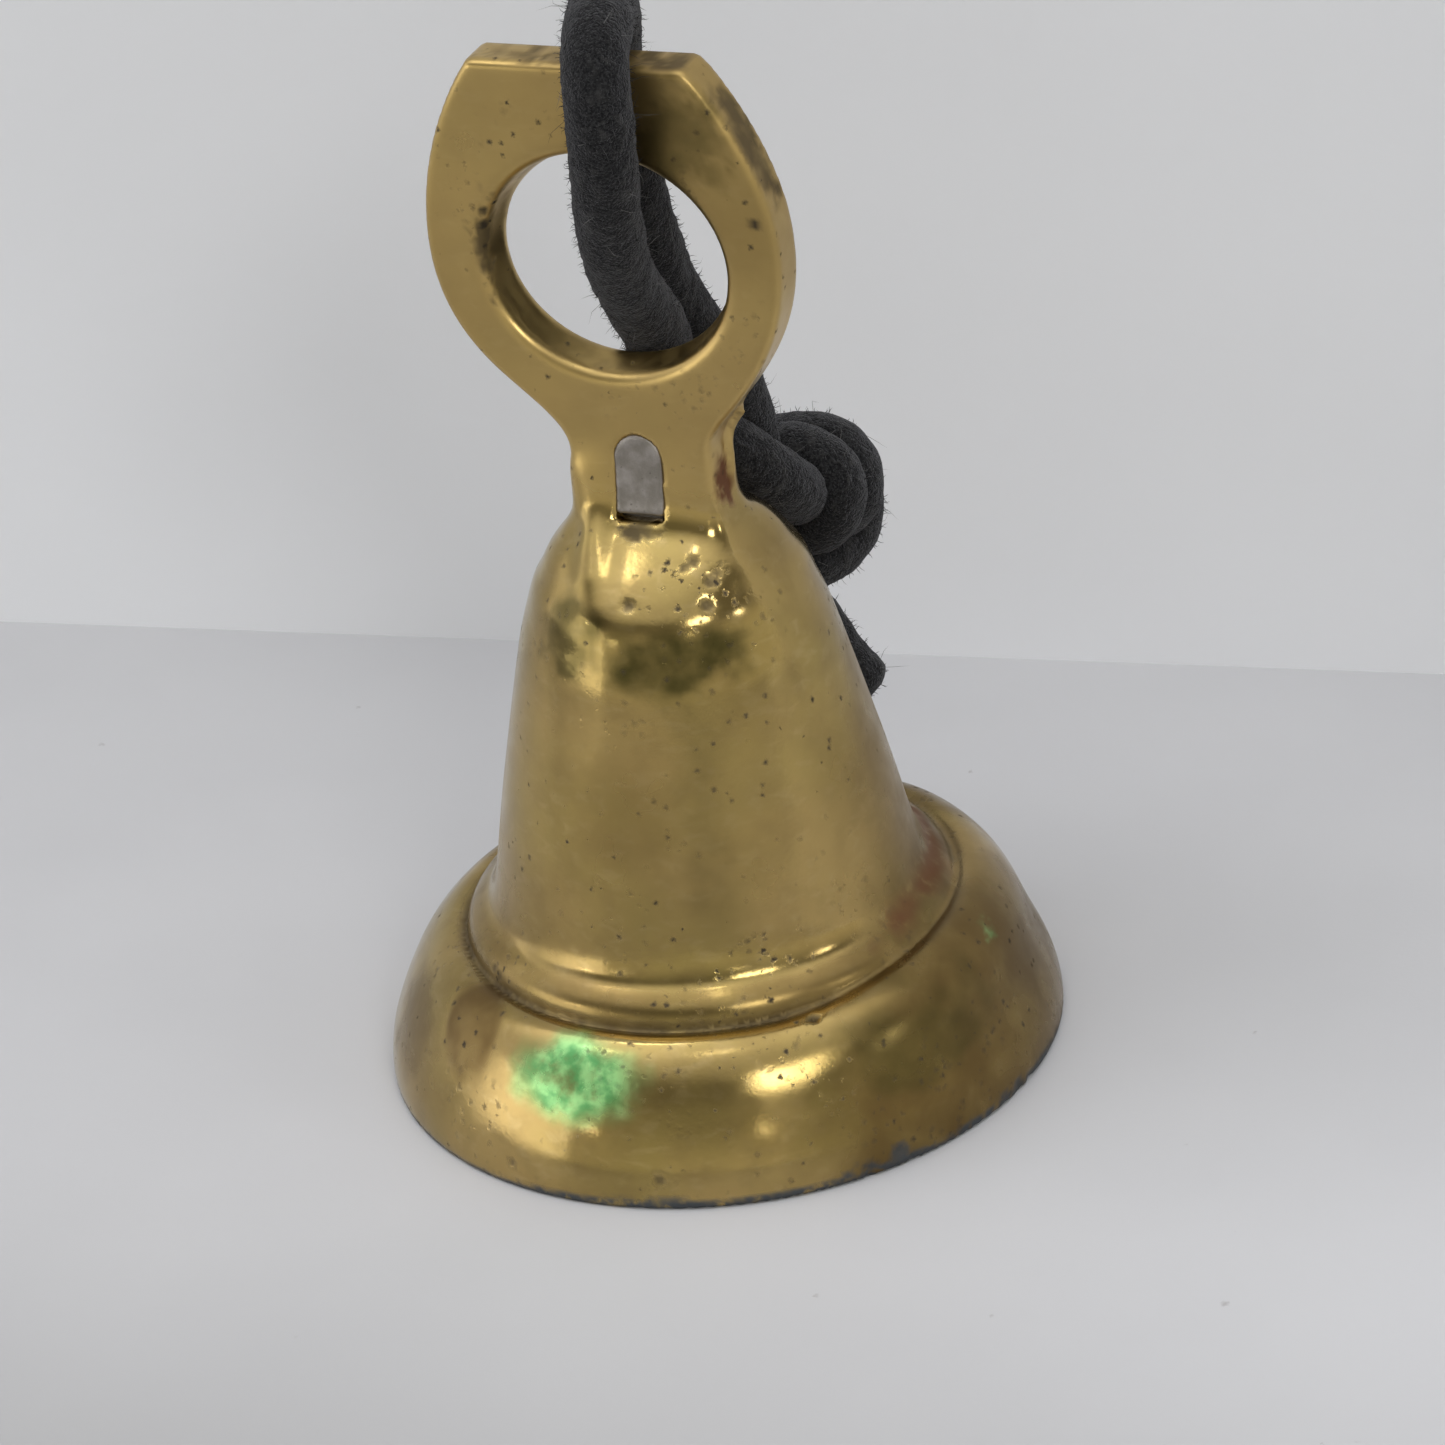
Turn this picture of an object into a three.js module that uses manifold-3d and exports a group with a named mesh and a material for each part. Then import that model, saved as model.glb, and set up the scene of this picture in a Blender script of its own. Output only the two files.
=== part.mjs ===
// A small cast brass ship bell. It stands on its rim, with a flat hanging eye cast on its crown,
// an iron strap let into the neck that carries the clapper inside, and a knotted black cord
// looped through the eye. Millimetres, +Z up. The origin is the middle of the mouth, on the plane
// of the rim; the flat of the hanging eye lies in the XZ plane and its face looks along -Y.
import * as THREE from 'three';
import { mergeVertices } from 'three/addons/utils/BufferGeometryUtils.js';
import Module from 'manifold-3d';

const wasm = await Module();
wasm.setup();

// ---- driving dimensions ----
const GAP = 0.3;                // between two pieces that touch on the real bell
const BELL_SEGMENTS = 48;       // facets round the bell
const HOLE_SEGMENTS = 40;
const CLEAR_THROUGH = 8;        // how far a cutter reaches past the metal it cuts

const SHOULDER_Z = 50.7;        // above this the round body turns into the flat neck
const CROWN_Z = 50.4;           // underside of the crown, inside

const EYE_FRONT = -3.65;        // front face of the flat eye
const EYE_BACK = 1.25;          // back face of the flat eye
const EYE_TOP = 103;
const EYE_ROUNDING = 0.8;       // worn edge of the eye
const HOLE = { x: -1.1, z: 83.2, halfWidth: 11.9, halfHeight: 10.9, flare: 0.9 };

const STRAP_WIDTH = 4.8;        // iron strap that carries the clapper
const STRAP_BACK = -0.7;
const STRAP_TOP = 66.2;
const WINDOW_FOOT = 57.8;       // the strap shows at the front of the neck above this
const STRAP_FOOT = 50.5;        // below this only the drilled lug goes on
const LUG_HALF_THICKNESS = 1.1;
const LUG_RADIUS = 3.7;
const LUG_TOP = 54;
const LUG_HOLE = { z: 46, radius: 2.1 };

const LINK_WIRE = 1.1;          // radius of the link's wire
const LINK_TOP = 45.5;          // middle of the wire where the link hangs in the lug
const LINK_RADIUS = 4.2;
const LINK_BOTTOM = LINK_TOP - 2 * LINK_RADIUS;

const SHANK_RADIUS = 1.6;
const SHANK_EYE_WIRE = 1.0;
const SHANK_EYE_RADIUS = 2.9;
const SHANK_EYE_Z = LINK_BOTTOM + LINK_WIRE + GAP + SHANK_EYE_WIRE - SHANK_EYE_RADIUS;
const BALL_RADIUS = 5.6;
const BALL_Z = 14.5;
const SHOULDER_RADIUS = 2.6;    // collar above the ball and peened head below it

const BALL_SHOULDER = 0.4;      // how far the collar and the head sit inside the ball's round ends
const ROD_SIDES = 20;
const BALL_SIDES = 28;
const BALL_BANDS = 12;
const WIRE_SIDES = 10;
const RING_SEGMENTS = 32;

const CORD_RADIUS = 3.1;
const CORD_SIDES = 10;

const COLOURS = {
  brass: { color: 0xa88a3c, roughness: 0.3, metalness: 1 },
  iron: { color: 0x7b7474, roughness: 0.5, metalness: 0.9 },
  steel: { color: 0x8c8a86, roughness: 0.45, metalness: 1 },
  cord: { color: 0x17181a, roughness: 1, metalness: 0 },
};

// ---- outlines: [radius, height] ----
const OUTSIDE = [
  [33, 0], [33.2, 1.5], [32.75, 3.6], [31.9, 5.8], [30.8, 8.2], [29.6, 10.4], [28.2, 12.4],
  [26.8, 13.7], [25.3, 14.3], [24.5, 14.2], [23.9, 13.7],           // skirt, up to the crease
  [23.9, 14.6], [23.4, 15.8], [22.4, 16.8], [21.5, 17.5],           // raised bead
  [20.9, 18.6], [20.4, 20.2], [19.95, 22.2], [19.5, 24.6],          // cove under the waist
  [18.5, 29.5], [17.5, 34], [16.45, 38.6], [15.6, 42.2], [14.9, 45], [14, 47.8], [12.85, SHOULDER_Z],
];
const INSIDE = [
  [31.3, -1], [31.2, 1.2], [30.5, 3.6], [29.3, 6.2], [27.7, 8.7], [25.7, 10.6], [23.8, 11.5],
  [22.1, 12.7], [20.9, 14.8], [19.7, 17.4], [18.5, 21], [17.3, 25.2], [16.1, 30], [14.1, 37.5],
  [12.8, 42], [11.3, 45.6], [9, 48.4], [6, 49.9], [3, CROWN_Z],
];

// The neck: half-width in X, half-depth to the front and to the back, squareness, height.
const NECK = [
  { x: 11.9, front: 11.6, back: 11.6, power: 2.2, z: 52.2 },
  { x: 10.9, front: 9.8, back: 9.8, power: 2.4, z: 53.9 },
  { x: 9.7, front: 7.6, back: 7.4, power: 2.8, z: 55.7 },
  { x: 8.5, front: 5.4, back: 4.8, power: 3.4, z: 57.4 },
  { x: 7.5, front: 4.0, back: 2.9, power: 4, z: 59.2 },
  { x: 6.9, front: 3.5, back: 1.2, power: 5, z: 61.5 },
];

// The cord, point by point. Up behind the eye from the knot and over the top bar, then down the
// bar's front, back through the hole and down behind the neck to the knot again, and the two cut
// ends below the knot.
const LOOP_BEHIND = [
  [3.8, 16.4, 50.6], [3.3, 15.6, 54.8], [2.9, 15, 58.7], [2.5, 14.2, 62.5], [0.9, 12.6, 67], [-0.9, 10.9, 72.4],
  [-1.4, 9.4, 76], [-1.4, 7.7, 79.8], [-1.4, 6.3, 83.6], [-1.4, 5.3, 88], [-1.6, 4.9, 93], [-1.9, 4.9, 98],
  [-1.7, 4.9, 102.4], [-0.6, 2.9, 105.8], [0.8, -1.2, 106.9],
];
const LOOP_IN_FRONT = [
  [-0.6, 2.9, 105.8], [0.8, -1.2, 106.9], [1.9, -5.3, 105.8], [2.4, -7.3, 102.4], [2.4, -7.4, 98.4],
  [2.1, -7.3, 94.4], [1.4, -6.2, 90], [0.6, -4.2, 85.6], [-0.2, -1.4, 81.4], [-0.6, 1.8, 77.2],
  [-0.6, 4.9, 73], [-0.9, 6.1, 69], [-1.1, 7, 65.6], [-0.5, 8.6, 62.2], [1.9, 10.3, 59.4],
  [4.6, 11.6, 57], [6.7, 13.3, 54.3], [7.8, 16, 51.5],
];
const TAIL_IN_VIEW = [[0, 26.9, 41], [0.3, 26.4, 37], [2.8, 25.4, 33], [5.6, 24.4, 29.2], [8.1, 23.5, 26.2]];
const TAIL_BEHIND = [[-5.9, 24.6, 44], [-6.8, 24.4, 40], [-6.7, 24.1, 36.4], [-5.8, 23.9, 33]];
const KNOT = { centre: [2.7, 21.6, 45.6], half: [10.3, 9.6, 9.8], turn: 23 };

// ---- geometry helpers ----
function solid(geometry) {
  const bare = geometry.index ? geometry.clone() : mergeVertices(geometry);
  bare.deleteAttribute('normal');
  bare.deleteAttribute('uv');
  const merged = mergeVertices(bare, 1e-5);
  return new wasm.Manifold(new wasm.Mesh({
    numProp: 3,
    vertProperties: new Float32Array(merged.attributes.position.array),
    triVerts: new Uint32Array(merged.index.array),
  }));
}

function geometryOf(manifold) {
  const mesh = manifold.getMesh();
  const geometry = new THREE.BufferGeometry();
  geometry.setAttribute('position', new THREE.BufferAttribute(new Float32Array(mesh.vertProperties), 3));
  geometry.setIndex(new THREE.BufferAttribute(new Uint32Array(mesh.triVerts), 1));
  return geometry;
}

// A closed skin over a stack of rings with the same number of points, listed from the bottom up.
function loft(rings) {
  const count = rings[0].length;
  const positions = rings.flat().flatMap((p) => [p.x, p.y, p.z]);
  const middle = (ring) => ring.reduce((sum, p) => sum.add(p), new THREE.Vector3()).divideScalar(count);
  const index = [];
  for (let i = 0; i + 1 < rings.length; i += 1) {
    for (let j = 0; j < count; j += 1) {
      const a = i * count + j;
      const b = i * count + ((j + 1) % count);
      index.push(a, b, b + count, a, b + count, a + count);
    }
  }
  const ends = [[rings[0], 0], [rings.at(-1), (rings.length - 1) * count]];
  ends.forEach(([ring, start], end) => {
    const centre = positions.length / 3;
    positions.push(...middle(ring).toArray());
    for (let j = 0; j < count; j += 1) {
      const a = start + j;
      const b = start + ((j + 1) % count);
      index.push(...(end ? [a, b, centre] : [b, a, centre]));
    }
  });
  const geometry = new THREE.BufferGeometry();
  geometry.setAttribute('position', new THREE.Float32BufferAttribute(positions, 3));
  geometry.setIndex(index);
  return geometry;
}

// A superellipse: power 2 is an ellipse, and a higher power is squarer.
function oval(halfX, front, back, power, z) {
  return Array.from({ length: BELL_SEGMENTS }, (_, j) => {
    const angle = (j / BELL_SEGMENTS) * 2 * Math.PI;
    const x = Math.sign(Math.cos(angle)) * Math.abs(Math.cos(angle)) ** (2 / power) * halfX;
    const depth = Math.sin(angle) < 0 ? front : back;
    const y = Math.sign(Math.sin(angle)) * Math.abs(Math.sin(angle)) ** (2 / power) * depth;
    return new THREE.Vector3(x, y, z);
  });
}

function turned(profile, segments) {
  const points = profile.map(([radius, z]) => new THREE.Vector2(radius, z));
  return new THREE.LatheGeometry(points, segments).rotateX(Math.PI / 2);
}

// A slab whose outline is drawn in X and Z, between two depths along Y.
function slab(shape, front, back, rounding = 0) {
  const geometry = new THREE.ExtrudeGeometry(shape, {
    depth: back - front - 2 * rounding,
    curveSegments: 7,
    bevelEnabled: rounding > 0,
    bevelThickness: rounding,
    bevelSize: rounding,
    bevelOffset: -rounding,
    bevelSegments: 2,
  });
  return geometry.rotateX(Math.PI / 2).translate(0, back - rounding, 0);
}

function vectors(points) {
  return points.map((p) => new THREE.Vector3(...p));
}

function cordTube(points, steps) {
  const section = new THREE.Shape();
  section.absarc(0, 0, CORD_RADIUS, 0, 2 * Math.PI);
  return new THREE.ExtrudeGeometry(section, {
    steps,
    curveSegments: CORD_SIDES,
    bevelEnabled: false,
    extrudePath: new THREE.CatmullRomCurve3(vectors(points), false, 'centripetal'),
  });
}

function ring(radius, wire) {
  return new THREE.TorusGeometry(radius, wire, WIRE_SIDES, RING_SEGMENTS);
}

// ---- the casting ----
function eyeOutline() {
  const shape = new THREE.Shape();
  shape.moveTo(-12.2, EYE_TOP);
  shape.bezierCurveTo(-15.8, 98.4, -18.7, 91.5, -18.7, 84.6);
  shape.bezierCurveTo(-18.7, 79, -16.6, 74.9, -12.9, 71.4);
  shape.bezierCurveTo(-9.4, 68.2, -7.3, 66.4, -6.9, 63.4);
  shape.lineTo(-7.6, 58.2);
  shape.lineTo(7.8, 58.2);
  shape.lineTo(7.2, 63.6);
  shape.bezierCurveTo(7.3, 66.6, 8.9, 67.8, 11, 70.5);
  shape.bezierCurveTo(14.6, 75, 16.4, 79.4, 16.4, 85);
  shape.bezierCurveTo(16.4, 91, 13.6, 97.2, 9.7, EYE_TOP - 0.6);
  shape.lineTo(9, EYE_TOP);
  shape.closePath();
  return shape;
}

function eyeHole() {
  const past = 1;
  const stations = [
    [EYE_FRONT - past, HOLE.flare + past], [EYE_FRONT + HOLE.flare, 0],
    [EYE_BACK - HOLE.flare, 0], [EYE_BACK + past, HOLE.flare + past],
  ];
  const rings = stations.map(([y, extra]) => Array.from({ length: HOLE_SEGMENTS }, (_, j) => {
    const angle = (j / HOLE_SEGMENTS) * 2 * Math.PI;
    const x = HOLE.x + Math.cos(angle) * (HOLE.halfWidth + extra);
    return new THREE.Vector3(x, y, HOLE.z - Math.sin(angle) * (HOLE.halfHeight + extra));
  }));
  return loft(rings);
}

// The strap's room in the casting: open at the front of the neck and into the bell.
function strapPocket() {
  const half = STRAP_WIDTH / 2 + GAP;
  const foot = CROWN_Z - CLEAR_THROUGH;
  const window = new THREE.Shape();
  window.moveTo(-half, WINDOW_FOOT);
  window.lineTo(half, WINDOW_FOOT);
  window.absarc(0, STRAP_TOP - STRAP_WIDTH / 2, half, 0, Math.PI);
  const shaft = new THREE.Shape();
  shaft.moveTo(-half, foot);
  shaft.lineTo(half, foot);
  shaft.absarc(0, STRAP_TOP - STRAP_WIDTH / 2, half, 0, Math.PI);
  const lug = new THREE.Shape();
  lug.moveTo(-half, foot);
  lug.lineTo(half, foot);
  lug.lineTo(half, LUG_TOP + GAP);
  lug.lineTo(-half, LUG_TOP + GAP);
  const back = STRAP_BACK + GAP;
  return solid(slab(window, EYE_FRONT - CLEAR_THROUGH, back))
    .add(solid(slab(shaft, EYE_FRONT - GAP, back)))
    .add(solid(slab(lug, EYE_FRONT - GAP, LUG_HALF_THICKNESS + GAP)));
}

// The outside of the round body and the neck, filled, and grown all round by a clearance.
function bodyOutside(grown) {
  const body = OUTSIDE.map(([radius, z]) => oval(radius + grown, radius + grown, radius + grown, 2, z));
  const neck = NECK.map((n) => oval(n.x + grown, n.front + grown, n.back + grown, n.power, n.z));
  return solid(loft([...body, ...neck]));
}

function bellCasting() {
  const inside = turned([[0, -1], ...INSIDE, [0, CROWN_Z]], BELL_SEGMENTS);
  return geometryOf(bodyOutside(0)
    .subtract(solid(inside))
    .add(solid(slab(eyeOutline(), EYE_FRONT, EYE_BACK, EYE_ROUNDING)))
    .subtract(solid(eyeHole()))
    .subtract(strapPocket()));
}

// ---- the clapper and what carries it ----
function crownStrap() {
  const half = STRAP_WIDTH / 2;
  const strap = new THREE.Shape();
  strap.moveTo(-half, STRAP_FOOT);
  strap.lineTo(half, STRAP_FOOT);
  strap.absarc(0, STRAP_TOP - half, half, 0, Math.PI);
  const lug = new THREE.Shape();
  lug.moveTo(half, LUG_TOP);
  lug.lineTo(-half, LUG_TOP);
  lug.lineTo(-half, LUG_HOLE.z + 3);
  lug.absarc(0, LUG_HOLE.z, LUG_RADIUS, Math.PI, 2 * Math.PI);
  lug.lineTo(half, LUG_HOLE.z + 3);
  const drill = new THREE.Shape();
  drill.absarc(0, LUG_HOLE.z, LUG_HOLE.radius, 0, 2 * Math.PI);
  return geometryOf(solid(slab(strap, EYE_FRONT, STRAP_BACK))
    .add(solid(slab(lug, -LUG_HALF_THICKNESS, LUG_HALF_THICKNESS)))
    .subtract(solid(slab(drill, -CLEAR_THROUGH, CLEAR_THROUGH))));
}

function clapperLink() {
  return ring(LINK_RADIUS, LINK_WIRE).rotateY(Math.PI / 2).translate(0, 0, LINK_TOP - LINK_RADIUS);
}

function clapperShank() {
  const collar = BALL_Z + BALL_RADIUS - BALL_SHOULDER + GAP;
  const head = BALL_Z - BALL_RADIUS + BALL_SHOULDER - GAP;
  const rod = turned([
    [0, head - 1.8], [1.5, head - 1.6], [SHOULDER_RADIUS, head - 0.6], [SHOULDER_RADIUS, head],
    [SHANK_RADIUS, head], [SHANK_RADIUS, collar], [SHOULDER_RADIUS, collar], [SHOULDER_RADIUS, collar + 1],
    [SHANK_RADIUS, collar + 2], [SHANK_RADIUS, SHANK_EYE_Z - 4], [1.2, SHANK_EYE_Z - SHANK_EYE_RADIUS],
    [0, SHANK_EYE_Z - SHANK_EYE_RADIUS],
  ], ROD_SIDES);
  const eye = ring(SHANK_EYE_RADIUS, SHANK_EYE_WIRE).rotateX(Math.PI / 2).translate(0, 0, SHANK_EYE_Z);
  return geometryOf(solid(rod).add(solid(eye)));
}

function clapperBall() {
  const bore = SHANK_RADIUS + GAP;
  const end = Math.acos(bore / BALL_RADIUS);
  const round = Array.from({ length: BALL_BANDS + 1 }, (_, i) => {
    const angle = -end + (2 * end * i) / BALL_BANDS;
    return [BALL_RADIUS * Math.cos(angle), BALL_Z + BALL_RADIUS * Math.sin(angle)];
  });
  return turned([...round, round[0]], BALL_SIDES);
}

// ---- the cord ----
function knotSolid(grown) {
  const [x, y, z] = KNOT.half.map((half) => half + grown);
  return solid(new THREE.SphereGeometry(1, 24, 14).rotateX(Math.PI / 2).scale(x, y, z)
    .rotateZ(THREE.MathUtils.degToRad(KNOT.turn)).translate(...KNOT.centre));
}

function cordKnot() {
  return geometryOf(knotSolid(0).subtract(bodyOutside(GAP)));
}

// One or more runs of the same length of cord, cut off where they go into the knot.
function cordPiece(...runs) {
  const tubes = runs.map(([points, steps]) => solid(cordTube(points, steps)));
  return geometryOf(wasm.Manifold.union(tubes).subtract(knotSolid(GAP)));
}

// ---- the assembly ----
const bell = new THREE.Group();

function place(name, geometry, finish) {
  const mesh = new THREE.Mesh(geometry, new THREE.MeshStandardMaterial(COLOURS[finish]));
  mesh.name = name;
  bell.add(mesh);
}

place('bell_casting', bellCasting(), 'brass');
place('crown_strap', crownStrap(), 'iron');
place('clapper_link', clapperLink(), 'steel');
place('clapper_shank', clapperShank(), 'steel');
place('clapper_ball', clapperBall(), 'brass');
place('cord_loop', cordPiece([LOOP_BEHIND, 28], [LOOP_IN_FRONT, 32]), 'cord');
place('cord_knot', cordKnot(), 'cord');
place('cord_tail_in_view', cordPiece([TAIL_IN_VIEW, 8]), 'cord');
place('cord_tail_behind', cordPiece([TAIL_BEHIND, 6]), 'cord');

export default bell;
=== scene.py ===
import math

import bpy
import numpy as np
from mathutils import Matrix, Vector

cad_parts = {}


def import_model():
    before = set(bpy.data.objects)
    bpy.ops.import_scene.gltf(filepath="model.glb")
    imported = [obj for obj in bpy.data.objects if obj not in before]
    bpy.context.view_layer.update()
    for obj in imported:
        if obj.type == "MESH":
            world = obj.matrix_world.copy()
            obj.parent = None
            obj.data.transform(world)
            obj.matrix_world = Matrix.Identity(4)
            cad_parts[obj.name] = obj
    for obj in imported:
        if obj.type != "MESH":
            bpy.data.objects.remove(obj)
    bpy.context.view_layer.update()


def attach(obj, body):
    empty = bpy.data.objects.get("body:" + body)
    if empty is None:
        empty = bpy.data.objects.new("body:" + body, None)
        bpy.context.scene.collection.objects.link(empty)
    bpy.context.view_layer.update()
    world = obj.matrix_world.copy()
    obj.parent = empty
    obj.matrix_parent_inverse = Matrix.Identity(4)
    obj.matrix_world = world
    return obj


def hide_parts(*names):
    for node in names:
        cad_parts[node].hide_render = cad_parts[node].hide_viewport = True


# A small cast brass ship bell standing on its rim, with a hanging eye, an iron strap let into its
# neck, a clapper inside and a knotted black cord through the eye. Shapes are worked out in
# millimetres in the row frame and handed to Blender in metres. +Z is up and the eye lies in XZ.
MM = 0.001

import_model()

# ---- dimensions shared with the CAD model, in millimetres ----
EYE_FRONT, EYE_BACK = -3.65, 1.25
EYE_TOP = 103.0
EYE_ROUNDING = 0.7
HOLE_X, HOLE_Z = -1.1, 83.2
HOLE_HALF_WIDTH, HOLE_HALF_HEIGHT = 11.9, 10.9
STRAP_HALF, STRAP_TOP, STRAP_FOOT = 2.4, 66.2, 50.5
STRAP_BACK = -0.7
STRAP_FIT = -0.12               # the strap is pressed in, so its pocket is this much smaller all round
STRAP_WINDOW_FOOT = 57.9        # the strap shows at the front of the neck above this
STRAP_FACE_FOOT = 58.4
LUG_HALF_THICKNESS, LUG_RADIUS, LUG_TOP = 1.1, 3.7, 54.0
LUG_HOLE_Z, LUG_HOLE_RADIUS = 46.0, 2.1
LINK_TOP, LINK_RADIUS, LINK_WIRE = 45.5, 4.2, 1.1
SHANK_RADIUS, SHANK_EYE_RADIUS, SHANK_EYE_WIRE = 1.6, 2.9, 1.0
SHANK_EYE_Z = LINK_TOP - 2 * LINK_RADIUS + LINK_WIRE + 0.3 + SHANK_EYE_WIRE - SHANK_EYE_RADIUS
BALL_Z, BALL_RADIUS = 14.5, 5.6
COLLAR_RADIUS = 2.6

BELL_MESH_STEP, BELL_QUICK_STEP, STRAP_MESH_STEP = 0.5, 0.9, 0.3
WIRE_ROUGHNESS, ROD_ROUGHNESS, BALL_ROUGHNESS = 0.04, 0.07, 0.03
BALL_SIDES = 72
RING_JOINT_DEPTH, RING_JOINT_WIDTH = 0.14, 0.035     # share of the wire, radians

# how far the casting's surfaces run into each other, in millimetres
NECK_BLEND, RIDGE_BLEND, HOLE_BLEND = 2.6, 2.2, 1.6
CREASE_BLEND, RIM_BLEND, CHIP_BLEND, POCKET_BLEND = 0.5, 0.5, 0.25, 0.25
SKIRT_RISE = 1.5                # how much higher the skirt climbs the bead on its right side

# ---- the cord, in millimetres ----
CORD_RADIUS = 3.1
CORD_STEP, CORD_SIDES = 0.4, 34
# up behind the eye from the knot, over the top bar, down its front, back through the hole and
# down behind the neck to the knot again
LOOP = [
    (2.5, 14.2, 62.5), (0.9, 12.6, 67.0), (-0.9, 10.9, 72.4), (-1.4, 9.4, 76.0), (-1.4, 7.7, 79.8),
    (-1.4, 6.3, 83.6), (-1.4, 5.3, 88.0), (-1.6, 4.9, 93.0), (-1.9, 4.9, 98.0), (-1.7, 4.9, 102.4),
    (-0.6, 2.9, 105.8), (0.8, -1.2, 106.9), (1.9, -5.3, 105.8), (2.4, -7.3, 102.4), (2.4, -7.4, 98.4),
    (2.1, -7.3, 94.4), (1.4, -6.2, 90.0), (0.6, -4.2, 85.6), (-0.2, -1.4, 81.4), (-0.6, 1.8, 77.2),
    (-0.6, 4.9, 73.0), (-0.9, 6.1, 69.0), (-1.1, 7.0, 65.6), (-0.5, 8.6, 62.2),
]
TAIL_IN_VIEW_END = (8.4, 23.4, 24.6)
TAIL_BEHIND_END = (-5.6, 23.9, 33.0)
KNOT_CENTRE = np.array((3.2, 22.3, 46.5))
KNOT_UP, KNOT_TURN = (-0.25, -0.2, 0.95), 208
KNOT_SPREAD = 9.0               # scale of the loose knot, before it is pulled tight
KNOT_POINTS = 110               # points along each of its two strands
STRAND_HALF = 2.4               # from the middle of the doubled cord to each strand, when loose
STRAND_GAP = 4.05               # between the middles of two runs of cord that press on each other
TIGHT_SEGMENT = 0.6             # between the points of a strand once the knot is tight
TIGHTENING_STEPS = 1500
ENDS_PULL, STRANDS_PULL = 1.6, 1.2      # how much sooner than the last step these have got there
CENTRED_FROM, PUSHED_FROM = 0.5, 0.6    # share of the steps after which the centre and the bell push
STRAIGHTENING, CENTRING, PRESSING = 0.2, 0.05, 1.3      # how strongly, at each step
PAIRS_EVERY = 8                 # steps from one search for the points that could press to the next
PAIRS_WITHIN = 1.8              # how close they are, in gaps
PAIRS_ALONG = 1.25              # how far apart along one strand they are at least, in gaps
KNOT_CLEARANCE = 3.5            # least distance from the middle of a strand to the bell
KNOT_TOP = 60.0                 # above this the cord lies as LOOP says, and isn't pushed off the bell
END_LENGTH = 2.0                # how far back from its cut ends the cord is rounded
FLARE, FLARE_FROM_END, FLARE_LENGTH = 0.07, 2.4, 1.6    # it swells a little where it was cut
# height, size and seed of the wrinkles
WRINKLES = [(0.13, 2.3, 51), (0.11, 0.9, 52), (0.05, 0.45, 53)]
WRINKLE_TOP = 0.12
# runs of cord this far apart along it are flattened where they come within FLATTEN_REACH of touching
FLATTEN_ALONG, FLATTEN_REACH, FLATTEN_GAP = 8, 0.4, 0.04
# how many hairs, their lengths, half their thickness, and the seed of their places
NAP, LINT = (7000, (0.35, 0.95), 0.035, 61), (380, (1.0, 3.4), 0.024, 62)
HAIR_LEAN, HAIR_BEND, HAIR_ROOT = 0.605, 0.54, 0.15

# radius, height
SKIRT = [
    (33.0, -0.6), (33.05, 0.6), (33.0, 1.6), (32.6, 3.6), (31.8, 5.8), (30.7, 8.2), (29.5, 10.4),
    (28.1, 12.3), (26.8, 13.5), (25.5, 14.1), (24.4, 14.0), (23.0, 13.3), (21.0, 12.0),
]
BEAD_AND_WAIST = [
    (22.9, 12.2), (23.6, 13.2), (23.9, 14.4), (23.4, 15.8), (22.4, 16.8), (21.5, 17.5), (20.9, 18.6),
    (20.4, 20.2), (19.95, 22.2), (19.5, 24.6), (18.5, 29.5), (17.5, 34.0), (16.45, 38.6), (15.6, 42.2),
    (14.9, 45.0), (14.0, 47.8), (12.85, 50.7), (11.6, 52.2),
]
INSIDE = [
    (31.3, -1.0), (31.2, 1.2), (30.5, 3.6), (29.3, 6.2), (27.7, 8.7), (25.7, 10.6), (23.8, 11.5),
    (22.1, 12.7), (20.9, 14.8), (19.7, 17.4), (18.5, 21.0), (17.3, 25.2), (16.1, 30.0), (14.1, 37.5),
    (12.8, 42.0), (11.3, 45.6), (9.0, 48.4), (6.0, 49.9), (3.0, 50.4), (0.0, 50.4),
]
# the back of the shoulder and neck, which the cord lies against
BACK_OF_NECK = [(11.9, 52.3), (9.8, 53.9), (7.6, 55.7), (4.8, 57.4), (2.9, 59.2), (1.2, 61.5)]
# height, half-width in X, half-depth to the front, half-depth to the back, squareness
NECK = [
    (44.0, 15.15, 15.15, 15.15, 2.0), (47.8, 14.0, 14.0, 14.0, 2.0), (50.7, 12.85, 12.85, 12.85, 2.1),
    (52.2, 11.9, 11.6, 11.6, 2.2), (53.9, 10.9, 9.8, 9.8, 2.4), (55.7, 9.4, 7.6, 7.4, 2.8),
    (57.4, 8.0, 5.5, 4.8, 3.2), (59.2, 6.8, 4.2, 2.9, 3.6), (61.5, 5.9, 3.3, 1.2, 4.0),
    (64.0, 5.5, 2.4, 0.7, 4.0), (67.0, 4.0, 1.2, 0.3, 4.0),
]

# a ridge that runs down from the left corner of the neck's face onto the shoulder
RIDGE = [(-5.2, -2.8, 61.5), (-4.6, -3.8, 58.6), (-4.1, -6.5, 56.0), (-3.5, -9.0, 53.4), (-2.8, -10.2, 51.2)]
RIDGE_RADIUS = 1.15

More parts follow.
